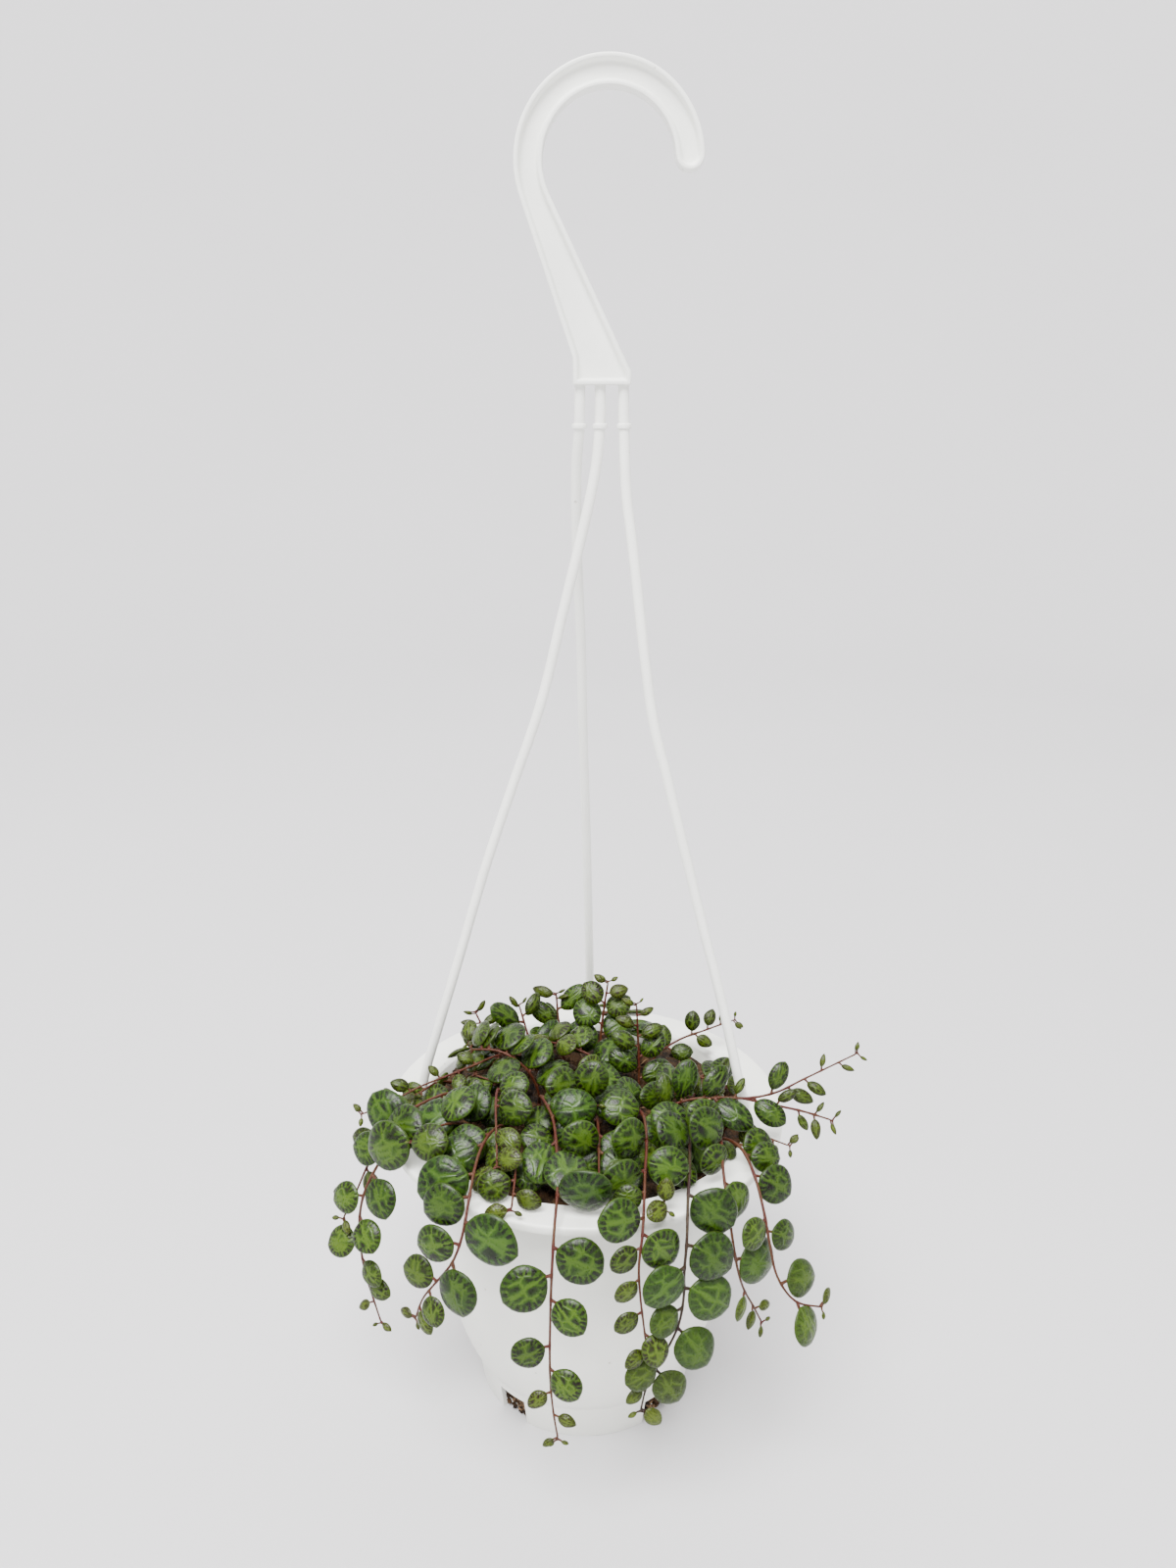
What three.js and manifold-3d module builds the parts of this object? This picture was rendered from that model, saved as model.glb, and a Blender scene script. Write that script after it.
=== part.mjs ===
// Potted string of turtles: a white plastic hanging pot with its hanger, soil and leafy stems.
// Millimetres, +Z up. The origin is the middle of the pot's base, on the surface it stands on.
// The front of the pot, where the longest stems hang, looks along -Y.

import * as THREE from 'three';
import { mergeVertices } from 'three/addons/utils/BufferGeometryUtils.js';
import Module from 'manifold-3d';

const wasm = await Module();
wasm.setup();

// Pot

const RIM_RADIUS = 60;
const RIM_TOP = 95.5;
const RIM_THICK = 1.6;
const RIM_INNER_RADIUS = 50.6;
const RIM_BEVEL = 1.2;
const RIM_ROUND = 0.5;
const LIP_DROP = 2.6;
const LIP_THICK = 1.4;
const WALL = 1.5;
const WALL_TOP_RADIUS = 51;
const SHOULDER_RADIUS = 35.9;
const SHOULDER_TOP = 12.5;
const WALL_BULGE = 5;
const BULGE_POWER = 0.8;
const FOOT_TOP = 11.9;
const FOOT_TOP_RADIUS = 35.3;
const FOOT_RADIUS = 33.6;
const PLATE_LIFT = 1.5;
const PLATE_TOP = 3;
const PLATE_REST_RADIUS = 24;
const PLATE_STEP = 1.2;
const POT_SIDES = 40;

// Drain windows, two to the front and two to the back
const WINDOW_SPREAD = 40;
const WINDOW_WIDTH = 9.8;
const WINDOW_TOP = 9;
const WINDOW_CUT = [30, 42];

// Sockets in the rim for the hanger's arms, as angles from +X
const SOCKET_RADIUS = 50.3;
const SOCKET_BORE = 2;
const SOCKET_BOTTOM = 86;
const SOCKET_ANGLES = [178, -20, 88];
const DIMPLE_RADIUS = 1.5;
const DIMPLE_DEPTH = 0.6;
const DIMPLE_PLACE = 56;

// Soil

const GAP = 0.3;
const SOIL_TOP = 91.2;
const SOIL_SIDES = 24;
const SOIL_EDGE = 0.7;
const SOIL_RINGS = [40, 28, 14, 0];
const SOIL_SWELL = 0.8;
const SOIL_RIPPLE = 0.5;
const ROOT_DEPTH = 86;
const ROOT_HOLE_DEPTH = 85.5;
const ROOT_HOLE_MARGIN = 0.65;
const ROOT_HOLE_SIDES = 5;

// Hanger

const HOOK_CENTRE = [6.1, 354];
const HOOK_OUTER = 23;
const HOOK_INNER = 16.1;
const HOOK_TIP_ANGLE = 4.3;
const HOOK_THICK = 5;
const HOOK_WEB = 1.8;
const HOOK_BORDER = 1.9;
const PLATE_LEFT = -2.8;
const PLATE_RIGHT = 11.9;
const PLATE_BOTTOM = 303.2;
const SHANK_LEFT_CORNER = 309.8;
const SHANK_RIGHT_CORNER = 306.4;
const ARM_RADIUS = 1.4;
const ARM_SIDES = 6;
const ARM_STEP = 13;
const ARM_FOOT = 87.5;
const COLLAR_RADIUS = 1.95;
const COLLAR_HEIGHT = 1.4;
const COLLAR_Z = 293.2;
const CATCH_REACH = 3.2;
const CATCH_WIDTH = 2.2;
const CATCH_HEIGHT = 2;

// Plant

const STEM_RADIUS = 0.8;
const STEM_SIDES = 3;
const SPIKE_RADIUS = 1;
const STEM_STEP = 9;
const LEAF_SIDES = 8;
const SMALL_LEAF = 8.6;
const SMALL_LEAF_SIDES = 6;
const LEAF_CLEARANCE = 0.4;
const ROUND_FROM = 9.5;
const ROOT_SINK = 0.4;
const FIRST_LEAF = 12;
const FORK_FIRST_LEAF = 7;
const BEAD_STEP = 1.5;
const SEED = 20611;

// How a leaf stands on its stem, in degrees, and as shares of a unit direction
const LEAF_ROLL = 28;
const LEAF_LEAN = 34;
const LEAF_LEAN_SPREAD = 24;
const LEAF_TILT = 0.3;
const LEAF_OVERLAP = 0.45;
const HANGING_FROM = 99;
const HANGING_DEPTH = 8;
const STALK_RISE = 0.35;
const STALK_RISE_SPREAD = 0.2;
const STALK_FORWARD = 0.3;
const STALK_LENGTH = 1.1;
const STALK_GROWTH = 0.12;
const BLADE_CENTRE = 0.44;

// A leaf that finds no room is tried again elsewhere, and later on smaller
const LEAF_TRIES = 40;
const LEAF_SHIFT = 5;
const SHIFT_FROM = 3;
const SMALLER_FROM = 16;
const SMALLER = 0.88;
const SMALLEST_FROM = 28;
const SMALLEST = 0.76;
const TO_LIGHT = new THREE.Vector3(0.05, -0.4, 0);

// Colours and finishes

const PLASTIC = { color: 0xf2f2ef, roughness: 0.42, metalness: 0 };
const HANGER_PLASTIC = { color: 0xf0f0ec, roughness: 0.38, metalness: 0 };
const SOIL_BROWN = { color: 0x3a2c20, roughness: 0.95, metalness: 0 };
const LEAF_GREEN = { color: 0x4d8040, roughness: 0.35, metalness: 0 };
const YOUNG_GREEN = { color: 0x82973f, roughness: 0.4, metalness: 0 };

const UP = new THREE.Vector3(0, 0, 1);
const radians = THREE.MathUtils.degToRad;
const vector = (point) => new THREE.Vector3(point[0], point[1], point[2]);

// A closed geometry as a solid, with its shared vertices merged and its faces pointing out
function solid(geometry) {
  const bare = geometry.clone();
  bare.deleteAttribute('normal');
  bare.deleteAttribute('uv');
  const merged = mergeVertices(bare, 1e-4);
  const position = merged.attributes.position;
  const index = Array.from(merged.index.array);
  const a = new THREE.Vector3();
  const b = new THREE.Vector3();
  const c = new THREE.Vector3();
  const kept = [];
  let volume = 0;
  for (let i = 0; i < index.length; i += 3) {
    const [p, q, r] = [index[i], index[i + 1], index[i + 2]];
    if (p === q || q === r || r === p) continue;
    a.fromBufferAttribute(position, p);
    b.fromBufferAttribute(position, q);
    c.fromBufferAttribute(position, r);
    volume += a.dot(b.cross(c));
    kept.push(p, q, r);
  }
  if (volume < 0) kept.reverse();
  const mesh = new wasm.Mesh({
    numProp: 3,
    vertProperties: new Float32Array(position.array),
    triVerts: new Uint32Array(kept),
  });
  return new wasm.Manifold(mesh);
}

function geometryOf(body) {
  const mesh = body.getMesh();
  const geometry = new THREE.BufferGeometry();
  geometry.setAttribute('position', new THREE.BufferAttribute(new Float32Array(mesh.vertProperties), 3));
  geometry.setIndex(new THREE.BufferAttribute(new Uint32Array(mesh.triVerts), 1));
  geometry.computeVertexNormals();
  return geometry;
}

function fused(bodies) {
  let whole = bodies[0];
  for (const body of bodies.slice(1)) whole = whole.add(body);
  return whole;
}

// A turned form about the Z axis from its outline of radius and height
function turned(outline, sides) {
  const points = outline.map(([radius, height]) => new THREE.Vector2(radius, height));
  const geometry = new THREE.LatheGeometry(points, sides);
  geometry.rotateX(Math.PI / 2);
  return geometry;
}

// An upright cylinder between two heights
function post(x, y, low, high, radius, sides) {
  const geometry = new THREE.CylinderGeometry(radius, radius, high - low, sides);
  geometry.rotateX(Math.PI / 2);
  geometry.translate(x, y, (low + high) / 2);
  return geometry;
}

// A block between two distances from the Z axis, turned to an angle
function radialBlock(angle, [near, far], width, low, high) {
  const geometry = new THREE.BoxGeometry(far - near, width, high - low);
  geometry.translate((near + far) / 2, 0, (low + high) / 2);
  geometry.rotateZ(radians(angle));
  return geometry;
}

function curveThrough(points) {
  return new THREE.CatmullRomCurve3(points.map(vector), false, 'catmullrom', 0.5);
}

// Points at equal steps of length along the smooth curve through the given points
function spaced(points, step) {
  const curve = curveThrough(points);
  const count = points.length * 12;
  const places = traced(Array.from({ length: count + 1 }, (_, i) => curve.getPoint(i / count)));
  const total = places[count].length;
  const steps = Math.max(2, Math.round(total / step));
  return Array.from({ length: steps + 1 }, (_, i) => alongLine(places, (total * i) / steps).point);
}

// The given points with the length up to each of them
function traced(points) {
  let length = 0;
  return points.map((point, i) => {
    if (i > 0) length += point.distanceTo(points[i - 1]);
    return { point, length };
  });
}

function alongLine(places, length) {
  let i = 1;
  while (i < places.length - 1 && places[i].length < length) i += 1;
  const before = places[i - 1];
  const after = places[i];
  const t = (length - before.length) / (after.length - before.length);
  return {
    point: before.point.clone().lerp(after.point, t),
    direction: after.point.clone().sub(before.point).normalize(),
  };
}

// A rod with flat sides along spaced points
function tube(points, radius, sides) {
  const curve = new THREE.CatmullRomCurve3(points, false, 'catmullrom', 0.5);
  const section = new THREE.Shape();
  for (let i = 0; i < sides; i += 1) {
    const angle = (2 * Math.PI * i) / sides;
    const x = radius * Math.cos(angle);
    const y = radius * Math.sin(angle);
    if (i === 0) section.moveTo(x, y);
    else section.lineTo(x, y);
  }
  section.closePath();
  const steps = points.length - 1;
  return new THREE.ExtrudeGeometry(section, { steps, extrudePath: curve, bevelEnabled: false });
}

function footRadius(height) {
  return FOOT_RADIUS + ((FOOT_TOP_RADIUS - FOOT_RADIUS) * height) / FOOT_TOP;
}

// The wall's outside, a little rounded above the shoulder and then nearly straight
function wallRadius(height) {
  const t = (height - SHOULDER_TOP) / (RIM_TOP - RIM_THICK - SHOULDER_TOP);
  const straight = SHOULDER_RADIUS + (WALL_TOP_RADIUS - SHOULDER_RADIUS) * t;
  return straight + WALL_BULGE * Math.sin(Math.PI * Math.pow(t, BULGE_POWER)) * (1 - t);
}

const WALL_HEIGHTS = [SHOULDER_TOP, 17, 23, 32, 45, 66];

function potOutline() {
  const underside = RIM_TOP - RIM_THICK;
  const lipInside = RIM_RADIUS - LIP_THICK;
  const outside = WALL_HEIGHTS.map((height) => [wallRadius(height), height]);
  const inside = WALL_HEIGHTS.map((height) => [wallRadius(height) - WALL, height]).reverse();
  return [
    [0, 0],
    [PLATE_REST_RADIUS, 0],
    [PLATE_REST_RADIUS + PLATE_STEP, PLATE_LIFT],
    [FOOT_RADIUS - WALL, PLATE_LIFT],
    [FOOT_RADIUS - WALL, 0],
    [FOOT_RADIUS, 0],
    [FOOT_TOP_RADIUS, FOOT_TOP],
    ...outside,
    [WALL_TOP_RADIUS, underside],
    [lipInside, underside],
    [lipInside, RIM_TOP - LIP_DROP],
    [RIM_RADIUS, RIM_TOP - LIP_DROP],
    [RIM_RADIUS, RIM_TOP - RIM_ROUND],
    [RIM_RADIUS - RIM_ROUND, RIM_TOP],
    [RIM_INNER_RADIUS, RIM_TOP],
    [WALL_TOP_RADIUS - WALL, RIM_TOP - RIM_BEVEL],
    ...inside,
    [FOOT_TOP_RADIUS - WALL, FOOT_TOP],
    [footRadius(PLATE_TOP) - WALL, PLATE_TOP],
    [0, PLATE_TOP],
  ];
}

function makePot() {
  let body = solid(turned(potOutline(), POT_SIDES));
  for (const middle of [-90, 90]) {
    for (const side of [-1, 1]) {
      const angle = middle + side * WINDOW_SPREAD;
      const opening = radialBlock(angle, WINDOW_CUT, WINDOW_WIDTH, PLATE_TOP, WINDOW_TOP);
      const notch = radialBlock(angle, WINDOW_CUT, WINDOW_WIDTH, -1, PLATE_LIFT);
      body = body.subtract(solid(opening)).subtract(solid(notch));
    }
  }
  for (const angle of SOCKET_ANGLES) {
    const [x, y] = aroundPot(angle, SOCKET_RADIUS);
    const [u, v] = aroundPot(angle, DIMPLE_PLACE);
    body = body.subtract(solid(post(x, y, SOCKET_BOTTOM, RIM_TOP + 1, SOCKET_BORE, 8)));
    body = body.subtract(solid(post(u, v, RIM_TOP - DIMPLE_DEPTH, RIM_TOP + 1, DIMPLE_RADIUS, 6)));
  }
  return body;
}

function aroundPot(angle, radius) {
  return [radius * Math.cos(radians(angle)), radius * Math.sin(radians(angle))];
}

// The soil's surface is uneven by about a millimetre
function soilHeight(x, y) {
  const swell = Math.sin(x / 6 + 1) * Math.cos(y / 7);
  const ripple = Math.sin((x + y) / 3.7);
  return SOIL_TOP + SOIL_SWELL * swell + SOIL_RIPPLE * ripple;
}

function makeSoil(rootHoles) {
  const inset = WALL + GAP;
  const side = WALL_HEIGHTS.map((height) => [wallRadius(height) - inset, height]);
  const outline = [
    [0, PLATE_TOP + GAP],
    [FOOT_RADIUS - inset, PLATE_TOP + GAP],
    [FOOT_TOP_RADIUS - inset, FOOT_TOP],
    ...side,
    [WALL_TOP_RADIUS - inset - SOIL_EDGE, SOIL_TOP],
    ...SOIL_RINGS.map((radius) => [radius, SOIL_TOP]),
  ];
  const geometry = turned(outline, SOIL_SIDES);
  const position = geometry.attributes.position;
  for (let i = 0; i < position.count; i += 1) {
    if (position.getZ(i) > SOIL_TOP - 0.1) {
      position.setZ(i, soilHeight(position.getX(i), position.getY(i)));
    }
  }
  let body = solid(geometry);
  for (const [x, y, radius] of rootHoles) {
    body = body.subtract(solid(post(x, y, ROOT_HOLE_DEPTH, RIM_TOP, radius, ROOT_HOLE_SIDES)));
  }
  return body;
}

// The hook's outline, also drawn inset for the recess between its borders. The shank's two edges
// are tangents from the plate's corners to the hook's circles.
function hookOutline(inset) {
  const [cx, cz] = HOOK_CENTRE;
  const outer = HOOK_OUTER - inset;
  const inner = HOOK_INNER + inset;
  const tangentAngle = (x, z, radius) => {
    const away = Math.hypot(x - cx, z - cz);
    return Math.atan2(z - cz, x - cx) - Math.acos(radius / away) + 2 * Math.PI;
  };
  const left = tangentAngle(PLATE_LEFT, SHANK_LEFT_CORNER, HOOK_OUTER);
  const right = tangentAngle(PLATE_RIGHT, SHANK_RIGHT_CORNER, HOOK_INNER);
  const cornerHeight = (x, angle, radius) => cz + (radius - (x - cx) * Math.cos(angle)) / Math.sin(angle);
  const leftX = PLATE_LEFT + inset;
  const rightX = PLATE_RIGHT - inset;
  const tip = radians(HOOK_TIP_ANGLE);
  const middle = (outer + inner) / 2;
  const tipX = cx + middle * Math.cos(tip);
  const tipZ = cz + middle * Math.sin(tip);
  const shape = new THREE.Shape();
  shape.moveTo(leftX, PLATE_BOTTOM + inset);
  shape.lineTo(leftX, cornerHeight(leftX, left, outer));
  shape.absarc(cx, cz, outer, left, tip, true);
  shape.absarc(tipX, tipZ, (outer - inner) / 2, tip, tip - Math.PI, true);
  shape.absarc(cx, cz, inner, tip, right, false);
  shape.lineTo(rightX, cornerHeight(rightX, right, inner));
  shape.lineTo(rightX, PLATE_BOTTOM + inset);
  shape.closePath();
  return shape;
}

// A plate cut to the hook's outline between two distances from the hook's middle plane
function hookPlate(inset, near, far) {
  const geometry = new THREE.ExtrudeGeometry(hookOutline(inset), {
    depth: far - near,
    bevelEnabled: false,
    curveSegments: 9,
  });
  geometry.rotateX(Math.PI / 2);
  geometry.translate(0, far, 0);
  return geometry;
}

// Each arm leaves the plate at its own place and ends upright in its socket in the rim
const ARMS = [
  {
    angle: SOCKET_ANGLES[0],
    route: [
      [4.1, 0, 304], [4.1, 0, 293], [2, 0, 277], [-6, 0, 244], [-12, 0, 220], [-21, 0, 194],
      [-29, 0, 170], [-37, 0, 143], [-44, 0.5, 120], [-48.4, 1.2, 105],
    ],
  },
  {
    angle: SOCKET_ANGLES[1],
    route: [
      [10.1, 0, 304], [10.3, -0.2, 293], [11, -1.3, 277], [13, -3, 261], [18, -7, 221],
      [23, -9, 200], [28, -10.5, 180], [33, -12, 160], [39, -14, 137], [43.6, -15.6, 117],
      [46.4, -16.8, 104],
    ],
  },
  {
    angle: SOCKET_ANGLES[2],
    route: [
      [-1, 0, 304], [-1.2, 0.6, 293], [-2, 4, 282], [-2, 11, 261], [-1, 19, 235], [-0.4, 27, 204],
      [0.5, 36, 169], [1.3, 44, 132], [1.7, 48.8, 108],
    ],
  },
];

function armRoute(arm) {
  const [x, y] = aroundPot(arm.angle, SOCKET_RADIUS);
  return [...arm.route, [x, y, 95], [x, y, 91], [x, y, ARM_FOOT]];
}

function makeHanger() {
  const plate = solid(hookPlate(0, -HOOK_THICK / 2, HOOK_THICK / 2));
  const front = solid(hookPlate(HOOK_BORDER, -HOOK_THICK, -HOOK_WEB / 2));
  const back = solid(hookPlate(HOOK_BORDER, HOOK_WEB / 2, HOOK_THICK));
  let body = plate.subtract(front).subtract(back);
  for (const arm of ARMS) {
    const [x, y] = arm.route[1];
    const catchTop = RIM_TOP - RIM_THICK - GAP;
    const reach = [SOCKET_RADIUS, SOCKET_RADIUS + CATCH_REACH];
    const hook = radialBlock(arm.angle, reach, CATCH_WIDTH, catchTop - CATCH_HEIGHT, catchTop);
    const collar = post(x, y, COLLAR_Z - COLLAR_HEIGHT / 2, COLLAR_Z + COLLAR_HEIGHT / 2,
      COLLAR_RADIUS, 8);
    body = body.add(solid(tube(spaced(armRoute(arm), ARM_STEP), ARM_RADIUS, ARM_SIDES)));
    body = body.add(solid(collar)).add(solid(hook));
  }
  return body;
}

// The leafy stems. A route lists the points of a stem after it leaves the soil at root. Each leaf
// is given by its length in order from the root, above zero on one side of the stem and below
// zero on the other. A zero is a joint of the stem that has lost its leaf. Where a stem's leaves all
// turn one way, facing gives it, and narrow is how much narrower than usual they are.
const VINES = [
  {
    name: 'vine_front_middle', root: [-14, -3],
    route: [
      [-13, -10, 103], [-9, -25, 105.5], [-7.5, -39, 104.5], [-7, -52, 101.5], [-7.5, -60.5, 98],
      [-8, -64.8, 91], [-8.5, -66, 80], [-9, -66, 59], [-8.5, -66.5, 46], [-7, -67, 34],
    ],
    leaves: [10, -12, 11, -12, 13.5, 14, -13.5, -16, 0, -12.5, 12.5, -10, 0, 9, -9, 6, -5, 3.5],
  },
  {
    name: 'vine_front_left', root: [-23, -16],
    route: [
      [-24, -22, 101], [-27, -32, 104], [-29, -43, 104], [-30, -53, 100.5], [-31.5, -58.5, 93],
      [-34, -58.5, 85], [-38, -57, 78], [-43, -55, 70], [-46, -53, 61],
    ],
    leaves: [10, -12, 12, -12, 0, 14.5, 12, -15, 11, -12.5, -9.5, 8, -6.5, 4.5],
  },
  {
    name: 'vine_left_long', root: [-34, -10], facing: [-0.45, -0.75, 0.45],
    route: [
      [-37, -12, 101], [-44, -17, 101.5], [-51, -23, 100.5], [-55.5, -27, 97.5], [-60, -29, 90],
      [-63.5, -29.5, 82], [-65, -29, 73], [-65, -29, 64], [-64, -29, 54], [-62, -29, 45],
      [-60.5, -29, 38],
    ],
    leaves: [9, -10, 11, -13, 10, -11, 9.5, -9.5, 9.5, -8, -7.5, 4.5, -3.5],
  },
  {
    name: 'vine_left_short', root: [-36, -1], facing: [-0.4, -0.75, 0.5],
    route: [
      [-39, -5, 101], [-47, -12, 102.5], [-54, -18, 100.5], [-59, -21, 95], [-63, -23, 88],
      [-67, -24.5, 79], [-70.5, -25.5, 72],
    ],
    leaves: [8, -9, 9, -9.5, 8, -7, 6, -4],
  },
  {
    name: 'crown_left', root: [-30, -18],
    route: [[-33, -22, 101], [-38, -27, 105], [-43, -32, 106], [-47, -36, 104.5]],
    leaves: [11, -13, 14.5, -14, 13, -16.5, 12],
  },
  {
    name: 'vine_right_dark', root: [29, -15],
    route: [
      [29.5, -22, 101], [29, -36, 104.5], [28, -48, 103], [27, -56, 99], [26.5, -61.5, 93],
      [26, -62.5, 85], [26, -62.5, 76], [25, -62.5, 68], [22, -64, 61], [18, -65.5, 54],
      [15.5, -66.5, 48], [15, -66.5, 43],
    ],
    leaves: [10, -12, 11, 0, -12.5, 11, -13, 0, -13.5, 12, -13, 9, -12, 9, -10, 5, -6],
  },
  {
    name: 'vine_right_middle', root: [14, -8],
    route: [
      [15.5, -14, 101], [17, -26, 106], [17, -39, 105.5], [16, -50, 103], [15.5, -58, 99.5],
      [14.8, -63.5, 94], [14, -65.5, 86], [15, -66, 75], [16.5, -66, 62],
    ],
    leaves: [10, -11, 11, -12.3, 0, 12.8, -12, 8, -12, -11.5, 8, 0, -7, 7, -11, 6],
  },
  {
    name: 'vine_right_front', root: [35, -12],
    route: [
      [36, -18, 101], [38, -30, 104], [37.5, -41, 102.5], [37.8, -49, 98.5], [38.6, -54, 92],
      [40, -56.5, 84], [41.5, -56, 76], [45, -53, 67], [49, -50, 57],
    ],
    leaves: [9, -11, 11, -12, 12, -12.5, 11, 0, -13.5, 8, -6.5, 5, -4.5, 3],
  },
  {
    name: 'vine_right_out', root: [37, -23],
    route: [
      [39, -27, 100], [43, -34, 102.5], [46, -42.5, 99.5], [48, -49, 93], [49.5, -53.5, 85],
      [51.5, -56, 77], [56, -57, 70.5], [64, -55, 66.5],
    ],
    leaves: [8, -10, 9, -11, 9, -9, 0, -10.5, 10.5, -5],
  },
  {
    name: 'vine_out_right', root: [20, -16], stem: 0.7, narrow: 0.72, facing: [0.1, -0.9, 0.45],
    route: [
      [22, -18, 102], [28, -20.5, 108], [38, -21.3, 109.8], [46, -21.3, 109.6], [52, -19.5, 109.2],
      [58, -17, 110], [65, -14, 112], [73, -12, 115], [80, -10, 117.5],
    ],
    leaves: [8, -9, 11, -10, 12, -5, 10, -8.5, 7, 6, -3.8, 3.8, -2.6],
    fork: {
      route: [[45, -21.3, 109.6], [53, -21.2, 107.6], [63, -22, 105.6], [71, -23, 103.4]],
      leaves: [6, -5, 5.5, -3.4, 3.2],
    },
    spike: [[36, -21.3, 109.6], [32, -23.5, 107.4], [27.5, -25.4, 105]],
  },
  {
    name: 'vine_out_left', root: [-13, 13], stem: 0.7, facing: [0, -0.75, 0.65],
    route: [
      [-16, 12.5, 101], [-24, 10, 105.5], [-31, 4, 106.5], [-38, -1, 106], [-46, -7, 106],
      [-53, -11, 104.5], [-61, -15.5, 102], [-65, -17, 101.4],
    ],
    leaves: [8, -7, 6, -6.5, 5.3, -6, 4, -5.5, 3.5, -4.5, 3],
  },
  {
    name: 'vine_over_left', root: [-24, -3],
    route: [[-25, -6, 102], [-25.5, -14, 107.5], [-25, -26, 108], [-24, -37, 105.5], [-23.5, -43, 102]],
    leaves: [9, 9.6, -9, 10, -8, 9, -8.5, 8.5],
  },
  {
    name: 'vine_rim_right', root: [41, -15], stem: 0.65, facing: [0, -0.9, 0.45],
    route: [[42.5, -19, 99.5], [47, -24, 101], [53, -27.5, 100], [58, -29, 99]],
    leaves: [6, -5, 4.5, -4, 3.6, -3.2],
  },
  {
    name: 'vine_back_right', root: [22, 24], stem: 0.7, facing: [0, -0.9, 0.45],
    route: [[25, 26, 98.5], [32, 27.5, 101], [39, 27.5, 104], [44, 28, 106], [49, 28.5, 107.5]],
    leaves: [8, -7, 6.5, 5.5, -5.5, -3, 2.8],
  },
  {
    name: 'shoot_right', root: [17, 8], stem: 0.7, narrow: 0.8, facing: [0.1, -0.9, 0.5],
    route: [[17, 9, 103], [16.5, 10, 113], [16, 10, 123]],
    leaves: [10, -9.5, 9, -8, 7, -6, 4.5, -4],
  },
  {
    name: 'shoot_middle', root: [5, 21], facing: [0, -0.8, 0.6],
    route: [[5, 22.5, 102], [6, 24.5, 112], [7.5, 25, 123]],
    leaves: [11, -10.5, 10, -9.5, 8.5, -8, 6, -4],
  },
  {
    name: 'shoot_back_left', root: [-16, 22], narrow: 0.65, facing: [0.5, -0.8, 0.3],
    route: [[-17, 24, 100], [-20, 27, 107], [-21.5, 30, 112]],
    leaves: [12, -12, 12, -11, 8, -5],
  },
  {
    name: 'shoot_back', root: [-7, 30], narrow: 0.65, facing: [-0.2, -0.9, 0.4],
    route: [[-8, 32, 100], [-9, 34.5, 106], [-9.5, 36, 113]],
    leaves: [10, -10, 10.5, -9, 7, -4],
  },
  {
    name: 'shoot_left', root: [-31, 26], narrow: 0.7, facing: [0, -0.9, 0.4],
    route: [[-32, 28, 100], [-34, 30, 105], [-36, 31, 109]],
    leaves: [8, -7.5, 6, -5, 4, -3],
  },
  {
    name: 'crown_front', root: [3, -14],
    route: [[3.5, -18, 101], [4, -29, 104], [4, -40, 104], [4, -51, 101.5]],
    leaves: [11, -12, 12, -12.5, 12, -13, 12, -12, 10],
  },
  {
    name: 'crown_front_left', root: [-17, -20],
    route: [[-18, -24, 100], [-18.5, -35, 102], [-18.5, -46, 101], [-19, -56, 98]],
    leaves: [11, -11, 12, -12, 11, -10, 9, -7, 6],
  },
  {
    name: 'crown_front_right', root: [22, -27],
    route: [[22, -31, 99], [21.5, -40, 101], [21, -49, 100.5], [21, -56, 98]],
    leaves: [10, -10, 10.5, -10, 9.5, -9, 8],
  },
  {
    name: 'crown_inner_left', root: [-24, 2],
    route: [[-25, 1, 99], [-29, 1, 101.5], [-34, 3, 102.5]],
    leaves: [10, -10, 10, -9, 8],
  },
  {
    name: 'crown_middle', root: [-3, 2],
    route: [[-3, 0, 100], [-1, -7, 105.5], [1, -15, 108.5], [3, -22, 107.5]],
    leaves: [11, -12, 12, -11, 12.5, -12, 11, -10],
  },
  {
    name: 'crown_middle_left', root: [-14, 4],
    route: [[-16, 3.5, 101], [-21, 3.5, 107.5], [-28, 5, 110], [-35, 7, 109]],
    leaves: [11, -11, 12, -11, 11, -10, 9, -8],
  },
  {
    name: 'crown_middle_back', root: [7, 9],
    route: [[6, 9.5, 101], [0, 12, 105], [-7, 13, 107], [-12, 17, 106]],
    leaves: [11, -11, 11, -10.5, 11, -10, 9, -8],
  },
  {
    name: 'crown_middle_right', root: [22, -5],
    route: [[23, -6.5, 100], [26, -11, 104.5], [31, -14, 105.5], [36, -15, 104]],
    leaves: [9, -10, 10.5, -11, 10, -9, 8], narrow: 0.8,
  },
  {
    name: 'crown_right', root: [26, 3],
    route: [[28, 2, 100], [33, -1, 104], [38, -5, 105.5], [41.5, -8, 104.5]],
    leaves: [10, -10, 11, -10, 10, -9, 8], narrow: 0.75,
  },
  {
    name: 'crown_back_right', root: [13, 26],
    route: [[13.5, 28, 99.5], [14, 34, 103], [13, 41, 103.5]],
    leaves: [10, -10, 10.5, -9.5, 9, -8],
  },
  {
    name: 'crown_far_left', root: [-40, 8],
    route: [[-42, 6, 99], [-46, 0, 101], [-50.5, -6, 101]],
    leaves: [10, -10, 10, -9, 9, -8],
  },
  {
    name: 'crown_back_left', root: [-24, 12],
    route: [[-26, 14, 100], [-30, 18, 103.5], [-37, 18, 104.5]],
    leaves: [10, -10, 11, -9.5, 9],
  },
];

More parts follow.
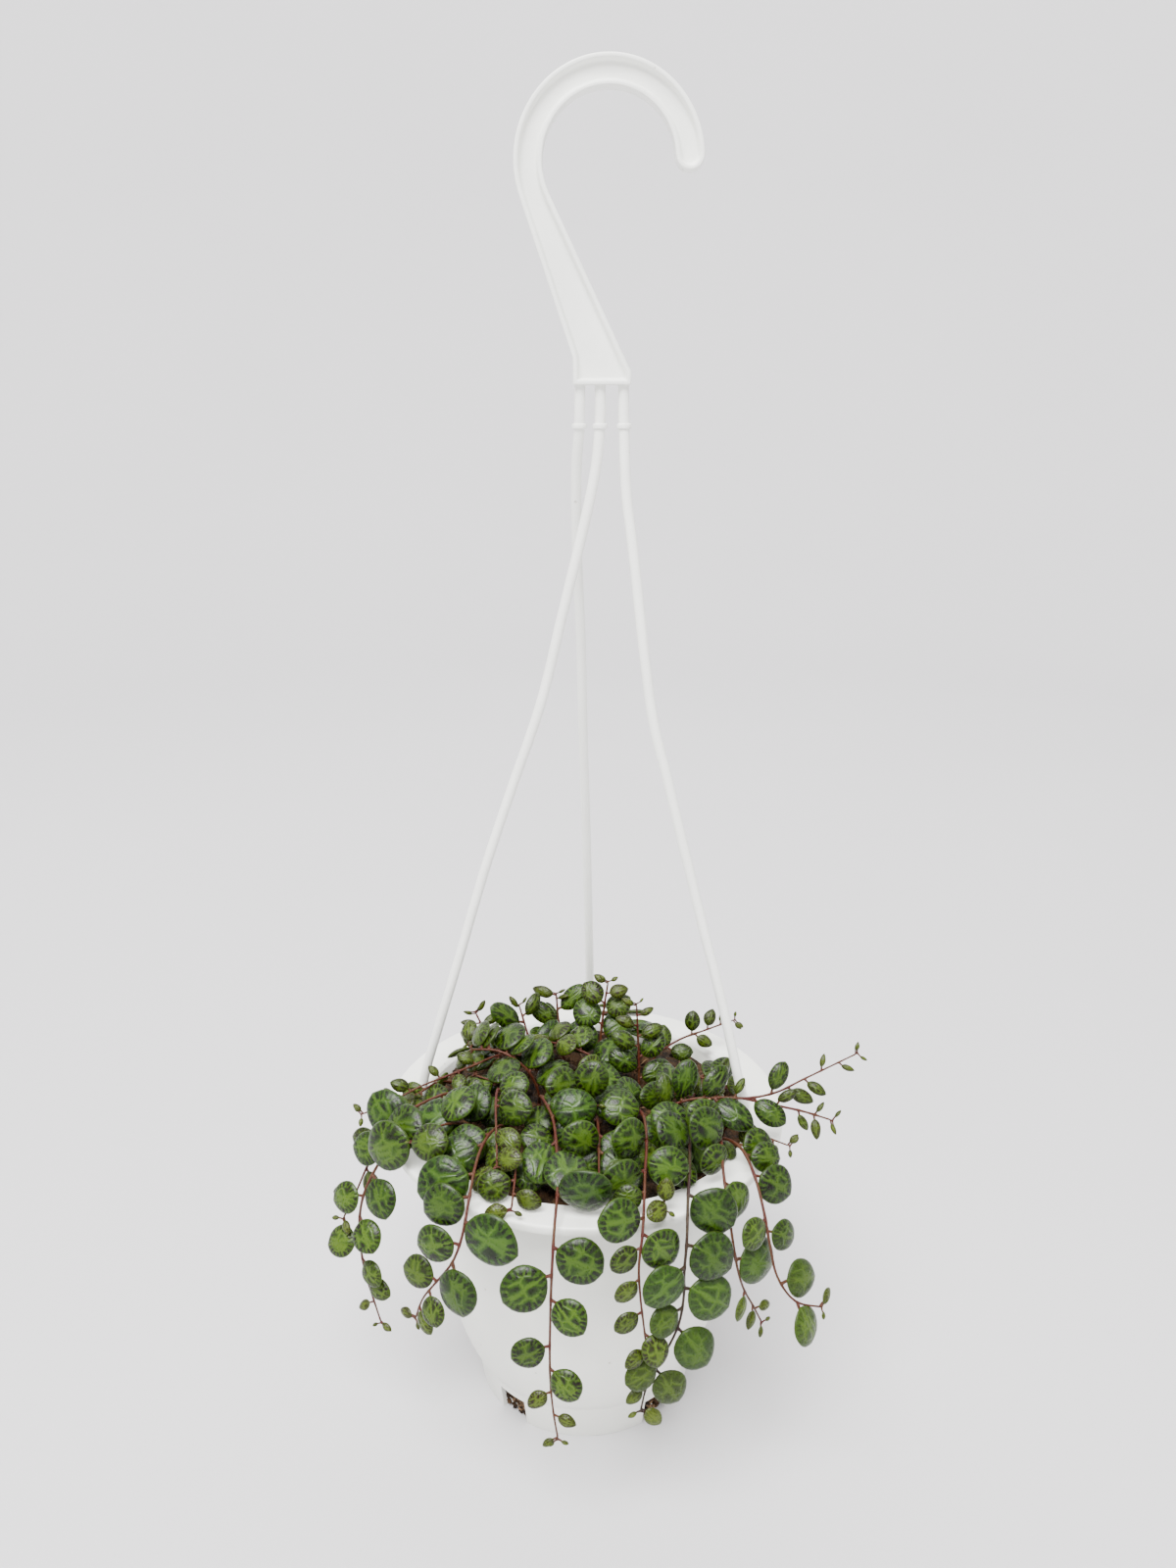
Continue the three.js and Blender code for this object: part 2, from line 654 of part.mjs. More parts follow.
// The same draws every time
function drawsFrom(seed) {
  let state = seed >>> 0;
  return () => {
    state = (state + 0x6d2b79f5) >>> 0;
    let mixed = state;
    mixed = Math.imul(mixed ^ (mixed >>> 15), mixed | 1);
    mixed ^= mixed + Math.imul(mixed ^ (mixed >>> 7), mixed | 61);
    return ((mixed ^ (mixed >>> 14)) >>> 0) / 4294967296;
  };
}

const draw = drawsFrom(SEED);
const around = (spread) => (draw() * 2 - 1) * spread;

// A leaf's blade, as its middle, its face, its own length and width directions and its sizes
function bladeSizes(length, narrow) {
  const roundness = THREE.MathUtils.clamp((length - 3) / (ROUND_FROM - 3), 0, 1);
  return {
    length,
    width: length * (0.6 + 0.37 * roundness) * narrow,
    thick: 0.7 + 0.135 * length,
  };
}

// From 0 in the crown to 1 beside the pot
function hangingShare(point) {
  return THREE.MathUtils.clamp((HANGING_FROM - point.z) / HANGING_DEPTH, 0, 1);
}

// Leaves of the crown face up, outwards and a little to the light at the front, and tilt forwards
// along their stem so that they overlap. Leaves that hang beside the pot face outwards.
function facingAt(point) {
  const radius = Math.hypot(point.x, point.y);
  const out = new THREE.Vector3(point.x, point.y, 0).divideScalar(Math.max(radius, 1));
  const crown = UP.clone().add(TO_LIGHT).addScaledVector(out, 0.016 * radius).normalize();
  const beside = out.clone().addScaledVector(UP, 0.25).normalize();
  return crown.lerp(beside, hangingShare(point)).normalize();
}

function bladeAt(stem, size, vine, attempt) {
  const side = Math.sign(size);
  const shrink = attempt < SMALLER_FROM ? 1 : attempt < SMALLEST_FROM ? SMALLER : SMALLEST;
  const sizes = bladeSizes(Math.abs(size) * shrink, vine.narrow);
  const loose = 0.5 + attempt / SMALLER_FROM;
  const roll = radians(around(LEAF_ROLL * loose));
  const lean = radians(LEAF_LEAN + around(LEAF_LEAN_SPREAD * loose));
  const rise = STALK_RISE + STALK_RISE_SPREAD * draw();
  const facing = vine.facing ? vector(vine.facing).normalize() : facingAt(stem.point);
  const normal = facing.clone();
  normal.x += around(LEAF_TILT * loose);
  normal.y += around(LEAF_TILT * loose);
  normal.z += around(LEAF_TILT * loose);
  const overlap = vine.facing ? 0 : LEAF_OVERLAP * (1 - hangingShare(stem.point));
  normal.addScaledVector(stem.direction, overlap).normalize();
  const across = stem.direction.clone().cross(facing).normalize().multiplyScalar(side);
  across.applyAxisAngle(stem.direction, roll * side);
  const stalk = across.clone().addScaledVector(facing, rise);
  stalk.addScaledVector(stem.direction, STALK_FORWARD);
  stalk.normalize().multiplyScalar(STALK_LENGTH + STALK_GROWTH * sizes.length);
  const base = stem.point.clone().add(stalk);
  const along = across.clone().multiplyScalar(Math.cos(lean));
  along.addScaledVector(stem.direction, Math.sin(lean));
  along.addScaledVector(normal, -along.dot(normal)).normalize();
  const middle = base.clone().addScaledVector(along, sizes.length * BLADE_CENTRE);
  const wide = along.clone().cross(normal).normalize();
  return { ...sizes, foot: stem.point, base, middle, normal, along, wide };
}

// How far a point is from a blade's surface, a little less than the true distance
function spaceFromBlade(blade, point) {
  const offset = point.clone().sub(blade.middle);
  const u = offset.dot(blade.along) / (blade.length / 2);
  const v = offset.dot(blade.wide) / (blade.width / 2);
  const height = Math.abs(offset.dot(blade.normal));
  const reach = Math.hypot(u, v);
  if (reach <= 1) return height - (blade.thick / 2) * Math.sqrt(1 - 0.75 * reach * reach);
  const beyond = ((reach - 1) * Math.min(blade.width, blade.length)) / 2;
  return Math.hypot(beyond, Math.max(height - blade.thick / 4, 0));
}

// Test points over a blade, with how thick the blade is there
function bladeSamples(blade) {
  const samples = [{ point: blade.middle, half: blade.thick / 2 }];
  for (const [ring, share] of [[0.55, 0.45], [1, 0.25]]) {
    for (let i = 0; i < LEAF_SIDES; i += 1) {
      const angle = (2 * Math.PI * i) / LEAF_SIDES;
      const point = blade.middle.clone();
      point.addScaledVector(blade.along, (ring * Math.cos(angle) * blade.length) / 2);
      point.addScaledVector(blade.wide, (ring * Math.sin(angle) * blade.width) / 2);
      samples.push({ point, half: blade.thick * share });
    }
  }
  return samples;
}

// Whether a ball of this radius is clear of the pot's rim and wall and of the soil
function clearOfPot(point, radius) {
  const away = Math.hypot(point.x, point.y);
  const room = radius + LEAF_CLEARANCE;
  if (point.z > RIM_TOP + room) return true;
  if (point.z < 1 + room) return false;
  if (away > RIM_RADIUS + room) return true;
  if (point.z < RIM_TOP - LIP_DROP - room && point.z > SHOULDER_TOP) {
    if (away > wallRadius(point.z) + room) return true;
  }
  if (away > WALL_TOP_RADIUS - WALL - room) return false;
  return point.z > soilHeight(point.x, point.y) + room + 0.4;
}

function bladeFits(blade, vine, blades, beads) {
  const samples = bladeSamples(blade);
  for (const { point, half } of samples) {
    if (!clearOfPot(point, half)) return false;
  }
  for (const bead of beads) {
    if (bead.vine === vine) continue;
    if (bead.point.distanceTo(blade.middle) > blade.length + 2) continue;
    if (spaceFromBlade(blade, bead.point) < bead.radius + LEAF_CLEARANCE) return false;
  }
  for (const other of blades) {
    if (other.middle.distanceTo(blade.middle) > (other.length + blade.length) / 2 + 3) continue;
    const room = other.vine === vine ? 0.1 : LEAF_CLEARANCE;
    for (const { point, half } of samples) {
      if (spaceFromBlade(other, point) < half + room) return false;
    }
    for (const { point, half } of bladeSamples(other)) {
      if (spaceFromBlade(blade, point) < half + room) return false;
    }
  }
  return true;
}

// The stalk of a leaf as beads, so that other leaves stay clear of it
function stalkBeads(blade, vine) {
  return [0.35, 0.7, 1].map((t) => ({
    point: blade.foot.clone().lerp(blade.base, t),
    radius: 0.55,
    vine,
  }));
}

// A stem stands upright in the soil before it follows its route
function stemPoints([x, y], route) {
  return [[x, y, ROOT_DEPTH], [x, y, 90], [x, y, 94], ...route];
}

const vines = VINES.map((vine) => {
  const radius = vine.stem ?? STEM_RADIUS;
  const branches = [{ points: stemPoints(vine.root, vine.route), leaves: vine.leaves, from: FIRST_LEAF }];
  if (vine.fork) {
    branches.push({ points: vine.fork.route, leaves: vine.fork.leaves, from: FORK_FIRST_LEAF });
  }
  return { ...vine, radius, narrow: vine.narrow ?? 1, branches };
});

// The hanger's arms and all stems as rows of balls, for leaves to stay clear of
const beads = [];
for (const arm of ARMS) {
  for (const point of spaced(armRoute(arm), BEAD_STEP)) {
    if (point.z < 150) beads.push({ point, radius: ARM_RADIUS, vine: 'hanger' });
  }
}
for (const vine of vines) {
  for (const point of vine.spike ? spaced(vine.spike, BEAD_STEP) : []) {
    beads.push({ point, radius: SPIKE_RADIUS, vine: vine.name });
  }
  for (const branch of vine.branches) {
    branch.line = spaced(branch.points, STEM_STEP);
    branch.places = traced(branch.line);
    const total = branch.places[branch.places.length - 1].length;
    for (let length = 0; length < total; length += BEAD_STEP) {
      const { point } = alongLine(branch.places, length);
      beads.push({ point, radius: vine.radius, vine: vine.name });
    }
  }
}

// Leaves go in one after another, each turned, moved or made smaller until it is clear of the rest
const blades = [];
for (const vine of vines) {
  for (const branch of vine.branches) {
    const total = branch.places[branch.places.length - 1].length;
    branch.leaves.forEach((size, i) => {
      if (size === 0) return;
      const share = branch.leaves.length > 1 ? i / (branch.leaves.length - 1) : 1;
      const place = branch.from + (total - branch.from - 0.6) * share;
      for (let attempt = 0; attempt < LEAF_TRIES; attempt += 1) {
        const shift = attempt < SHIFT_FROM ? 0 : around(LEAF_SHIFT);
        const length = THREE.MathUtils.clamp(place + shift, branch.from, total - 0.5);
        const stem = alongLine(branch.places, length);
        const blade = bladeAt(stem, attempt % 5 === 4 ? -size : size, vine, attempt);
        if (!bladeFits(blade, vine.name, blades, beads)) continue;
        blades.push({ ...blade, vine: vine.name });
        beads.push(...stalkBeads(blade, vine.name));
        break;
      }
    });
  }
}

// A blade is a flat ball, drawn out at its base into a stalk that is sunk in the stem. Small
// leaves narrow towards their tip. Few sides lose some of the outline, so it is drawn larger.
const OUTLINE_GAIN = 1.04;

function leafGeometry(blade) {
  const sides = blade.length < SMALL_LEAF ? SMALL_LEAF_SIDES : LEAF_SIDES;
  const geometry = new THREE.SphereGeometry(1, sides, 2);
  const pointed = THREE.MathUtils.clamp((9 - blade.length) / 6, 0, 1);
  const position = geometry.attributes.position;
  const frame = new THREE.Matrix4().makeBasis(blade.along, blade.normal, blade.wide);
  frame.setPosition(blade.middle);
  const root = blade.foot.clone();
  root.addScaledVector(blade.base.clone().sub(blade.foot).normalize(), -ROOT_SINK);
  const point = new THREE.Vector3();
  for (let i = 0; i < position.count; i += 1) {
    point.fromBufferAttribute(position, i);
    const isBase = point.x < -0.99;
    const taper = OUTLINE_GAIN - 0.22 * pointed * Math.max(point.x, 0);
    point.x *= (blade.length / 2) * OUTLINE_GAIN;
    point.y *= blade.thick / 2;
    point.z *= (blade.width / 2) * taper;
    point.applyMatrix4(frame);
    if (isBase) point.copy(root);
    position.setXYZ(i, point.x, point.y, point.z);
  }
  return geometry;
}

function makeVine(vine) {
  const parts = vine.branches.map((branch) => solid(tube(branch.line, vine.radius, STEM_SIDES)));
  if (vine.spike) parts.push(solid(tube(vine.spike.map(vector), SPIKE_RADIUS, STEM_SIDES)));
  for (const blade of blades.filter((item) => item.vine === vine.name)) {
    parts.push(solid(leafGeometry(blade)));
  }
  return fused(parts);
}

function part(name, body, look) {
  const mesh = new THREE.Mesh(geometryOf(body), new THREE.MeshStandardMaterial(look));
  mesh.name = name;
  return mesh;
}

const rootHoles = vines.map(({ root, radius }) => [root[0], root[1], radius + ROOT_HOLE_MARGIN]);
const plant = new THREE.Group();
for (const vine of vines) {
  plant.add(part(vine.name, makeVine(vine), vine.name.startsWith('shoot') ? YOUNG_GREEN : LEAF_GREEN));
}

const object = new THREE.Group();
object.add(part('pot', makePot(), PLASTIC));
object.add(part('soil', makeSoil(rootHoles), SOIL_BROWN));
object.add(part('hanger', makeHanger(), HANGER_PLASTIC));
object.add(plant);

export default object;
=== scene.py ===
import math

import bmesh
import bpy
import numpy as np
from mathutils import Matrix, Vector, noise


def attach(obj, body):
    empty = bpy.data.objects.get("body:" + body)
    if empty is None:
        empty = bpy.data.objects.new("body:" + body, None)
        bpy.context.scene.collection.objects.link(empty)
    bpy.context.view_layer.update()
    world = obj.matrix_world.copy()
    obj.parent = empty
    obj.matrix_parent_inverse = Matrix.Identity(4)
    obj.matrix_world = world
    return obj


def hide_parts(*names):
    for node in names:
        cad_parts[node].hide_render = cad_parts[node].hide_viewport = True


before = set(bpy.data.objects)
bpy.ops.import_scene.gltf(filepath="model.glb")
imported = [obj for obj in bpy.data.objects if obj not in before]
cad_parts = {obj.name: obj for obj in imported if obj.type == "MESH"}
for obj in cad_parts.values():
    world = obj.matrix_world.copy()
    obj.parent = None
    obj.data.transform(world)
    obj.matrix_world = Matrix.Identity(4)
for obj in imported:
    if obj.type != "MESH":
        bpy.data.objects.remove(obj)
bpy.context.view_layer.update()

bl_info = {
    "name": "Potted String of Turtles",
    "version": (1, 0, 0),
    "blender": (4, 5, 0),
    "location": "View3D > Sidebar > Turtles",
    "description": "A trailing plant with turtle-shell leaves in a white hanging pot",
    "category": "Add Mesh",
}

# The part stands on z = 0 with its front to -Y. Settings are in metres. Plant routes and the
# tables below are in millimetres, and MM turns them into metres.

MM = 0.001

UP = np.array([0.0, 0.0, 1.0])

# Degrees between faces from which an edge is rounded, and from which it stays crisp
ROUNDED_FROM = 32
CRISP_FROM = 34

# Angles round the pot in degrees, from +X
SOCKET_ANGLES = (178, -20, 88)
WINDOW_ANGLES = (-130, -50, 50, 130)

# Pot, in millimetres
RIM_TOP = 95.5
RIM_RADIUS = 60
RIM_THICK = 1.6
RIM_INNER_RADIUS = 50.6
RIM_BEVEL = 1.2
RIM_ROUND = 0.5
LIP_DROP = 2.6
LIP_THICK = 1.4
WALL = 1.5
WALL_TOP_RADIUS = 51
SHOULDER_RADIUS = 35.9
SHOULDER_TOP = 12.5
WALL_BULGE = 5
BULGE_POWER = 0.8
FOOT_TOP = 11.9
FOOT_TOP_RADIUS = 35.3
FOOT_RADIUS = 33.6
PLATE_LIFT = 1.5
PLATE_TOP = 3
PLATE_REST_RADIUS = 24
PLATE_STEP = 1.2
POT_STEPS = 160
WINDOW_CUT = (31.4, 42)
SOCKET_RADIUS = 50.3
SOCKET_BORE = 2
SOCKET_BOTTOM = 86
DIMPLE_RADIUS = 1.5
DIMPLE_DEPTH = 0.6
DIMPLE_PLACE = 56

# Soil, in millimetres
SOIL_TOP = 91.2
SOIL_SWELL = 0.8
SOIL_RIPPLE = 0.5
SOIL_EDGE = 0.7
SOIL_GAP = 0.3
SOIL_ROUGHNESS = 0.7
SOIL_WALL_TOP = 88
SOIL_STEPS = 128
LUMP_SEED = 417
LUMP_REACH = 47.5
FIBRE_REACH = 45
WINDOW_CRUMBS = 110
WINDOW_HALF_ANGLE = 8.4
WINDOW_LOW = 0.7
WINDOW_DEEP = 7.9

# Hanger, in millimetres and degrees
HOOK_CENTRE = (6.1, 354)
HOOK_OUTER = 23
HOOK_INNER = 16.1
HOOK_TIP_ANGLE = 4.3
PLATE_LEFT = -2.8
PLATE_RIGHT = 11.9
PLATE_BOTTOM = 303.2
SHANK_LEFT_CORNER = 309.8
SHANK_RIGHT_CORNER = 306.4
COLLAR_RADIUS = 1.95
COLLAR_HEIGHT = 1.4
COLLAR_Z = 293.2
POST_HEIGHTS = (95, 91, 87.5)
CATCH_REACH = 3.2
CATCH_WIDTH = 2.2
CATCH_HEIGHT = 2
CATCH_ROUND = 0.3
BORDER_SLOPE = 0.4
HOOK_ROUND = 0.35
ARC_STEPS = 72
ARM_RING_STEP = 1.6
ARM_SIDES = 20

# Plant, in millimetres and degrees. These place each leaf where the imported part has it.
STEM_RADIUS = 0.8
SPIKE_RADIUS = 1
ARM_RADIUS = 1.4
STEM_STEP = 9
LEAF_SIDES = 8
LEAF_CLEARANCE = 0.4
ABOVE_SOIL = 0.4
ABOVE_FLOOR = 1
ROUND_FROM = 9.5
FIRST_LEAF = 12
FORK_FIRST_LEAF = 7
BEAD_STEP = 1.5
SEED = 20611
ROOT_HEIGHTS = (86, 90, 94)
ARMS_AMONG_LEAVES = 150
CROWN_OUTWARDS = 0.016
BESIDE_UPWARDS = 0.25
TO_LIGHT = np.array([0.05, -0.4, 0.0])
YOUNG_WIDTH = 0.6
GROWN_WIDER = 0.37
THINNEST = 0.7
THICKENING = 0.135
OWN_STEM_ROOM = 0.1
STALK_BEAD_RADIUS = 0.55
LAST_LEAF_GAP = 0.6
LEAF_ROLL = 28
LEAF_LEAN = 34
LEAF_LEAN_SPREAD = 24
LEAF_TILT = 0.3
LEAF_OVERLAP = 0.45
HANGING_FROM = 99
HANGING_DEPTH = 8
STALK_RISE = 0.35
STALK_RISE_SPREAD = 0.2
STALK_FORWARD = 0.3
STALK_LENGTH = 1.1
STALK_GROWTH = 0.12
BLADE_CENTRE = 0.44
LEAF_TRIES = 40
LEAF_SHIFT = 5
SHIFT_FROM = 3
SMALLER_FROM = 16
SMALLER = 0.88
SMALLEST_FROM = 28
SMALLEST = 0.76

# Detail that the visual model adds to the plant, in millimetres and shares
GROWN_LENGTH = 16
STEM_RING_STEP = 1.2
STEM_SIDES = 9
BUD_LENGTH = 1.7
BUD_SPREAD = 0.9
JOINT_SWELL = 0.28
TIP_THIN = 0.4
SPIKE_BEAD_ROWS = 22
SPIKE_BEADS_ROUND = 5
SPIKE_BEAD_PLACE = 0.62
SPIKE_BEAD_RADIUS = 0.3

# Stage, in metres and degrees
FLOOR_BEND = 0.7
BACKDROP_TOP = 2.2
FLOOR_STEPS = 96
CAMERA_PLACE = (0.00104, -0.3159, 0.2959)
CAMERA_TILT = 72.62
CAMERA_LENS = 27.05

# The way of each hanger arm from the plate to its socket in the rim, in the order of the sockets
ARM_ROUTES = (
    [
        (4.1, 0, 304), (4.1, 0, 293), (2, 0, 277), (-6, 0, 244), (-12, 0, 220), (-21, 0, 194),
        (-29, 0, 170), (-37, 0, 143), (-44, 0.5, 120), (-48.4, 1.2, 105),
    ],
    [
        (10.1, 0, 304), (10.3, -0.2, 293), (11, -1.3, 277), (13, -3, 261), (18, -7, 221),
        (23, -9, 200), (28, -10.5, 180), (33, -12, 160), (39, -14, 137), (43.6, -15.6, 117),
        (46.4, -16.8, 104),
    ],
    [
        (-1, 0, 304), (-1.2, 0.6, 293), (-2, 4, 282), (-2, 11, 261), (-1, 19, 235),
        (-0.4, 27, 204), (0.5, 36, 169), (1.3, 44, 132), (1.7, 48.8, 108),
    ],
)


def stem(name, root, route, leaves, **own):
    """A stem's root in the soil, its points above the soil, and the length of each leaf in order.

    A length is above zero on one side, below zero on the other, and zero for a joint without a
    leaf."""
    return {"name": name, "root": root, "route": route, "leaves": leaves, **own}


VINES = (
    stem(
        "vine_front_middle", (-14, -3),
        [
            (-13, -10, 103), (-9, -25, 105.5), (-7.5, -39, 104.5), (-7, -52, 101.5),
            (-7.5, -60.5, 98), (-8, -64.8, 91), (-8.5, -66, 80), (-9, -66, 59), (-8.5, -66.5, 46),
            (-7, -67, 34),
        ],
        [10, -12, 11, -12, 13.5, 14, -13.5, -16, 0, -12.5, 12.5, -10, 0, 9, -9, 6, -5, 3.5],
    ),
    stem(
        "vine_front_left", (-23, -16),
        [
            (-24, -22, 101), (-27, -32, 104), (-29, -43, 104), (-30, -53, 100.5),
            (-31.5, -58.5, 93), (-34, -58.5, 85), (-38, -57, 78), (-43, -55, 70), (-46, -53, 61),
        ],
        [10, -12, 12, -12, 0, 14.5, 12, -15, 11, -12.5, -9.5, 8, -6.5, 4.5],
    ),
    stem(
        "vine_left_long", (-34, -10),
        [
            (-37, -12, 101), (-44, -17, 101.5), (-51, -23, 100.5), (-55.5, -27, 97.5),
            (-60, -29, 90), (-63.5, -29.5, 82), (-65, -29, 73), (-65, -29, 64), (-64, -29, 54),
            (-62, -29, 45), (-60.5, -29, 38),
        ],
        [9, -10, 11, -13, 10, -11, 9.5, -9.5, 9.5, -8, -7.5, 4.5, -3.5],
        facing=(-0.45, -0.75, 0.45),
    ),
    stem(
        "vine_left_short", (-36, -1),
        [
            (-39, -5, 101), (-47, -12, 102.5), (-54, -18, 100.5), (-59, -21, 95), (-63, -23, 88),
            (-67, -24.5, 79), (-70.5, -25.5, 72),
        ],
        [8, -9, 9, -9.5, 8, -7, 6, -4], facing=(-0.4, -0.75, 0.5),
    ),
    stem(
        "crown_left", (-30, -18),
        [(-33, -22, 101), (-38, -27, 105), (-43, -32, 106), (-47, -36, 104.5)],
        [11, -13, 14.5, -14, 13, -16.5, 12],
    ),
    stem(
        "vine_right_dark", (29, -15),
        [
            (29.5, -22, 101), (29, -36, 104.5), (28, -48, 103), (27, -56, 99), (26.5, -61.5, 93),
            (26, -62.5, 85), (26, -62.5, 76), (25, -62.5, 68), (22, -64, 61), (18, -65.5, 54),
            (15.5, -66.5, 48), (15, -66.5, 43),
        ],
        [10, -12, 11, 0, -12.5, 11, -13, 0, -13.5, 12, -13, 9, -12, 9, -10, 5, -6],
        dark=True, plain=0.7,
    ),
    stem(
        "vine_right_middle", (14, -8),
        [
            (15.5, -14, 101), (17, -26, 106), (17, -39, 105.5), (16, -50, 103), (15.5, -58, 99.5),
            (14.8, -63.5, 94), (14, -65.5, 86), (15, -66, 75), (16.5, -66, 62),
        ],
        [10, -11, 11, -12.3, 0, 12.8, -12, 8, -12, -11.5, 8, 0, -7, 7, -11, 6],
    ),
    stem(
        "vine_right_front", (35, -12),
        [
            (36, -18, 101), (38, -30, 104), (37.5, -41, 102.5), (37.8, -49, 98.5), (38.6, -54, 92),
            (40, -56.5, 84), (41.5, -56, 76), (45, -53, 67), (49, -50, 57),
        ],
        [9, -11, 11, -12, 12, -12.5, 11, 0, -13.5, 8, -6.5, 5, -4.5, 3], plain=0.5,
    ),
    stem(
        "vine_right_out", (37, -23),
        [
            (39, -27, 100), (43, -34, 102.5), (46, -42.5, 99.5), (48, -49, 93), (49.5, -53.5, 85),
            (51.5, -56, 77), (56, -57, 70.5), (64, -55, 66.5),
        ],
        [8, -10, 9, -11, 9, -9, 0, -10.5, 10.5, -5], plain=0.5,
    ),
    stem(
        "vine_out_right", (20, -16),
        [
            (22, -18, 102), (28, -20.5, 108), (38, -21.3, 109.8), (46, -21.3, 109.6),
            (52, -19.5, 109.2), (58, -17, 110), (65, -14, 112), (73, -12, 115), (80, -10, 117.5),
        ],
        [8, -9, 11, -10, 12, -5, 10, -8.5, 7, 6, -3.8, 3.8, -2.6],
        stem=0.7, narrow=0.72, facing=(0.1, -0.9, 0.45),
        fork={
            "route": [(45, -21.3, 109.6), (53, -21.2, 107.6), (63, -22, 105.6), (71, -23, 103.4)],
            "leaves": [6, -5, 5.5, -3.4, 3.2],
        },
        spike=[(36, -21.3, 109.6), (32, -23.5, 107.4), (27.5, -25.4, 105)],
    ),
    stem(
        "vine_out_left", (-13, 13),
        [
            (-16, 12.5, 101), (-24, 10, 105.5), (-31, 4, 106.5), (-38, -1, 106), (-46, -7, 106),
            (-53, -11, 104.5), (-61, -15.5, 102), (-65, -17, 101.4),
        ],
        [8, -7, 6, -6.5, 5.3, -6, 4, -5.5, 3.5, -4.5, 3], stem=0.7, facing=(0, -0.75, 0.65),
    ),
    stem(
        "vine_over_left", (-24, -3),
        [
            (-25, -6, 102), (-25.5, -14, 107.5), (-25, -26, 108), (-24, -37, 105.5),
            (-23.5, -43, 102),
        ],
        [9, 9.6, -9, 10, -8, 9, -8.5, 8.5],
    ),
    stem(
        "vine_rim_right", (41, -15),
        [(42.5, -19, 99.5), (47, -24, 101), (53, -27.5, 100), (58, -29, 99)],
        [6, -5, 4.5, -4, 3.6, -3.2], stem=0.65, facing=(0, -0.9, 0.45),
    ),
    stem(
        "vine_back_right", (22, 24),
        [(25, 26, 98.5), (32, 27.5, 101), (39, 27.5, 104), (44, 28, 106), (49, 28.5, 107.5)],
        [8, -7, 6.5, 5.5, -5.5, -3, 2.8], stem=0.7, facing=(0, -0.9, 0.45),
    ),
    stem(
        "shoot_right", (17, 8), [(17, 9, 103), (16.5, 10, 113), (16, 10, 123)],
        [10, -9.5, 9, -8, 7, -6, 4.5, -4], stem=0.7, narrow=0.8, facing=(0.1, -0.9, 0.5),
    ),
    stem(
        "shoot_middle", (5, 21), [(5, 22.5, 102), (6, 24.5, 112), (7.5, 25, 123)],
        [11, -10.5, 10, -9.5, 8.5, -8, 6, -4], facing=(0, -0.8, 0.6),
    ),
    stem(
        "shoot_back_left", (-16, 22), [(-17, 24, 100), (-20, 27, 107), (-21.5, 30, 112)],
        [12, -12, 12, -11, 8, -5], narrow=0.65, facing=(0.5, -0.8, 0.3),
    ),
    stem(
        "shoot_back", (-7, 30), [(-8, 32, 100), (-9, 34.5, 106), (-9.5, 36, 113)],
        [10, -10, 10.5, -9, 7, -4], narrow=0.65, facing=(-0.2, -0.9, 0.4),
    ),
    stem(
        "shoot_left", (-31, 26), [(-32, 28, 100), (-34, 30, 105), (-36, 31, 109)],
        [8, -7.5, 6, -5, 4, -3], narrow=0.7, facing=(0, -0.9, 0.4),
    ),
    stem(
        "crown_front", (3, -14), [(3.5, -18, 101), (4, -29, 104), (4, -40, 104), (4, -51, 101.5)],
        [11, -12, 12, -12.5, 12, -13, 12, -12, 10],
    ),
    stem(
        "crown_front_left", (-17, -20),
        [(-18, -24, 100), (-18.5, -35, 102), (-18.5, -46, 101), (-19, -56, 98)],
        [11, -11, 12, -12, 11, -10, 9, -7, 6],
    ),
    stem(
        "crown_front_right", (22, -27),
        [(22, -31, 99), (21.5, -40, 101), (21, -49, 100.5), (21, -56, 98)],
        [10, -10, 10.5, -10, 9.5, -9, 8],
    ),
    stem(
        "crown_inner_left", (-24, 2), [(-25, 1, 99), (-29, 1, 101.5), (-34, 3, 102.5)],
        [10, -10, 10, -9, 8],
    ),
    stem(
        "crown_middle", (-3, 2), [(-3, 0, 100), (-1, -7, 105.5), (1, -15, 108.5), (3, -22, 107.5)],
        [11, -12, 12, -11, 12.5, -12, 11, -10],
    ),
    stem(
        "crown_middle_left", (-14, 4),
        [(-16, 3.5, 101), (-21, 3.5, 107.5), (-28, 5, 110), (-35, 7, 109)],
        [11, -11, 12, -11, 11, -10, 9, -8],
    ),
    stem(
        "crown_middle_back", (7, 9), [(6, 9.5, 101), (0, 12, 105), (-7, 13, 107), (-12, 17, 106)],
        [11, -11, 11, -10.5, 11, -10, 9, -8],
    ),
    stem(
        "crown_middle_right", (22, -5),
        [(23, -6.5, 100), (26, -11, 104.5), (31, -14, 105.5), (36, -15, 104)],
        [9, -10, 10.5, -11, 10, -9, 8], narrow=0.8,
    ),
    stem(
        "crown_right", (26, 3), [(28, 2, 100), (33, -1, 104), (38, -5, 105.5), (41.5, -8, 104.5)],
        [10, -10, 11, -10, 10, -9, 8], narrow=0.75,
    ),
    stem(
        "crown_back_right", (13, 26), [(13.5, 28, 99.5), (14, 34, 103), (13, 41, 103.5)],
        [10, -10, 10.5, -9.5, 9, -8],
    ),
    stem(
        "crown_far_left", (-40, 8), [(-42, 6, 99), (-46, 0, 101), (-50.5, -6, 101)],
        [10, -10, 10, -9, 9, -8],
    ),
    stem(
        "crown_back_left", (-24, 12), [(-26, 14, 100), (-30, 18, 103.5), (-37, 18, 104.5)],
        [10, -10, 11, -9.5, 9],
    ),
)


# Curves and the rule that places the leaves


def clamp(value, low, high):
    return max(low, min(high, value))


def unit(vector):
    return vector / (np.linalg.norm(vector) or 1)


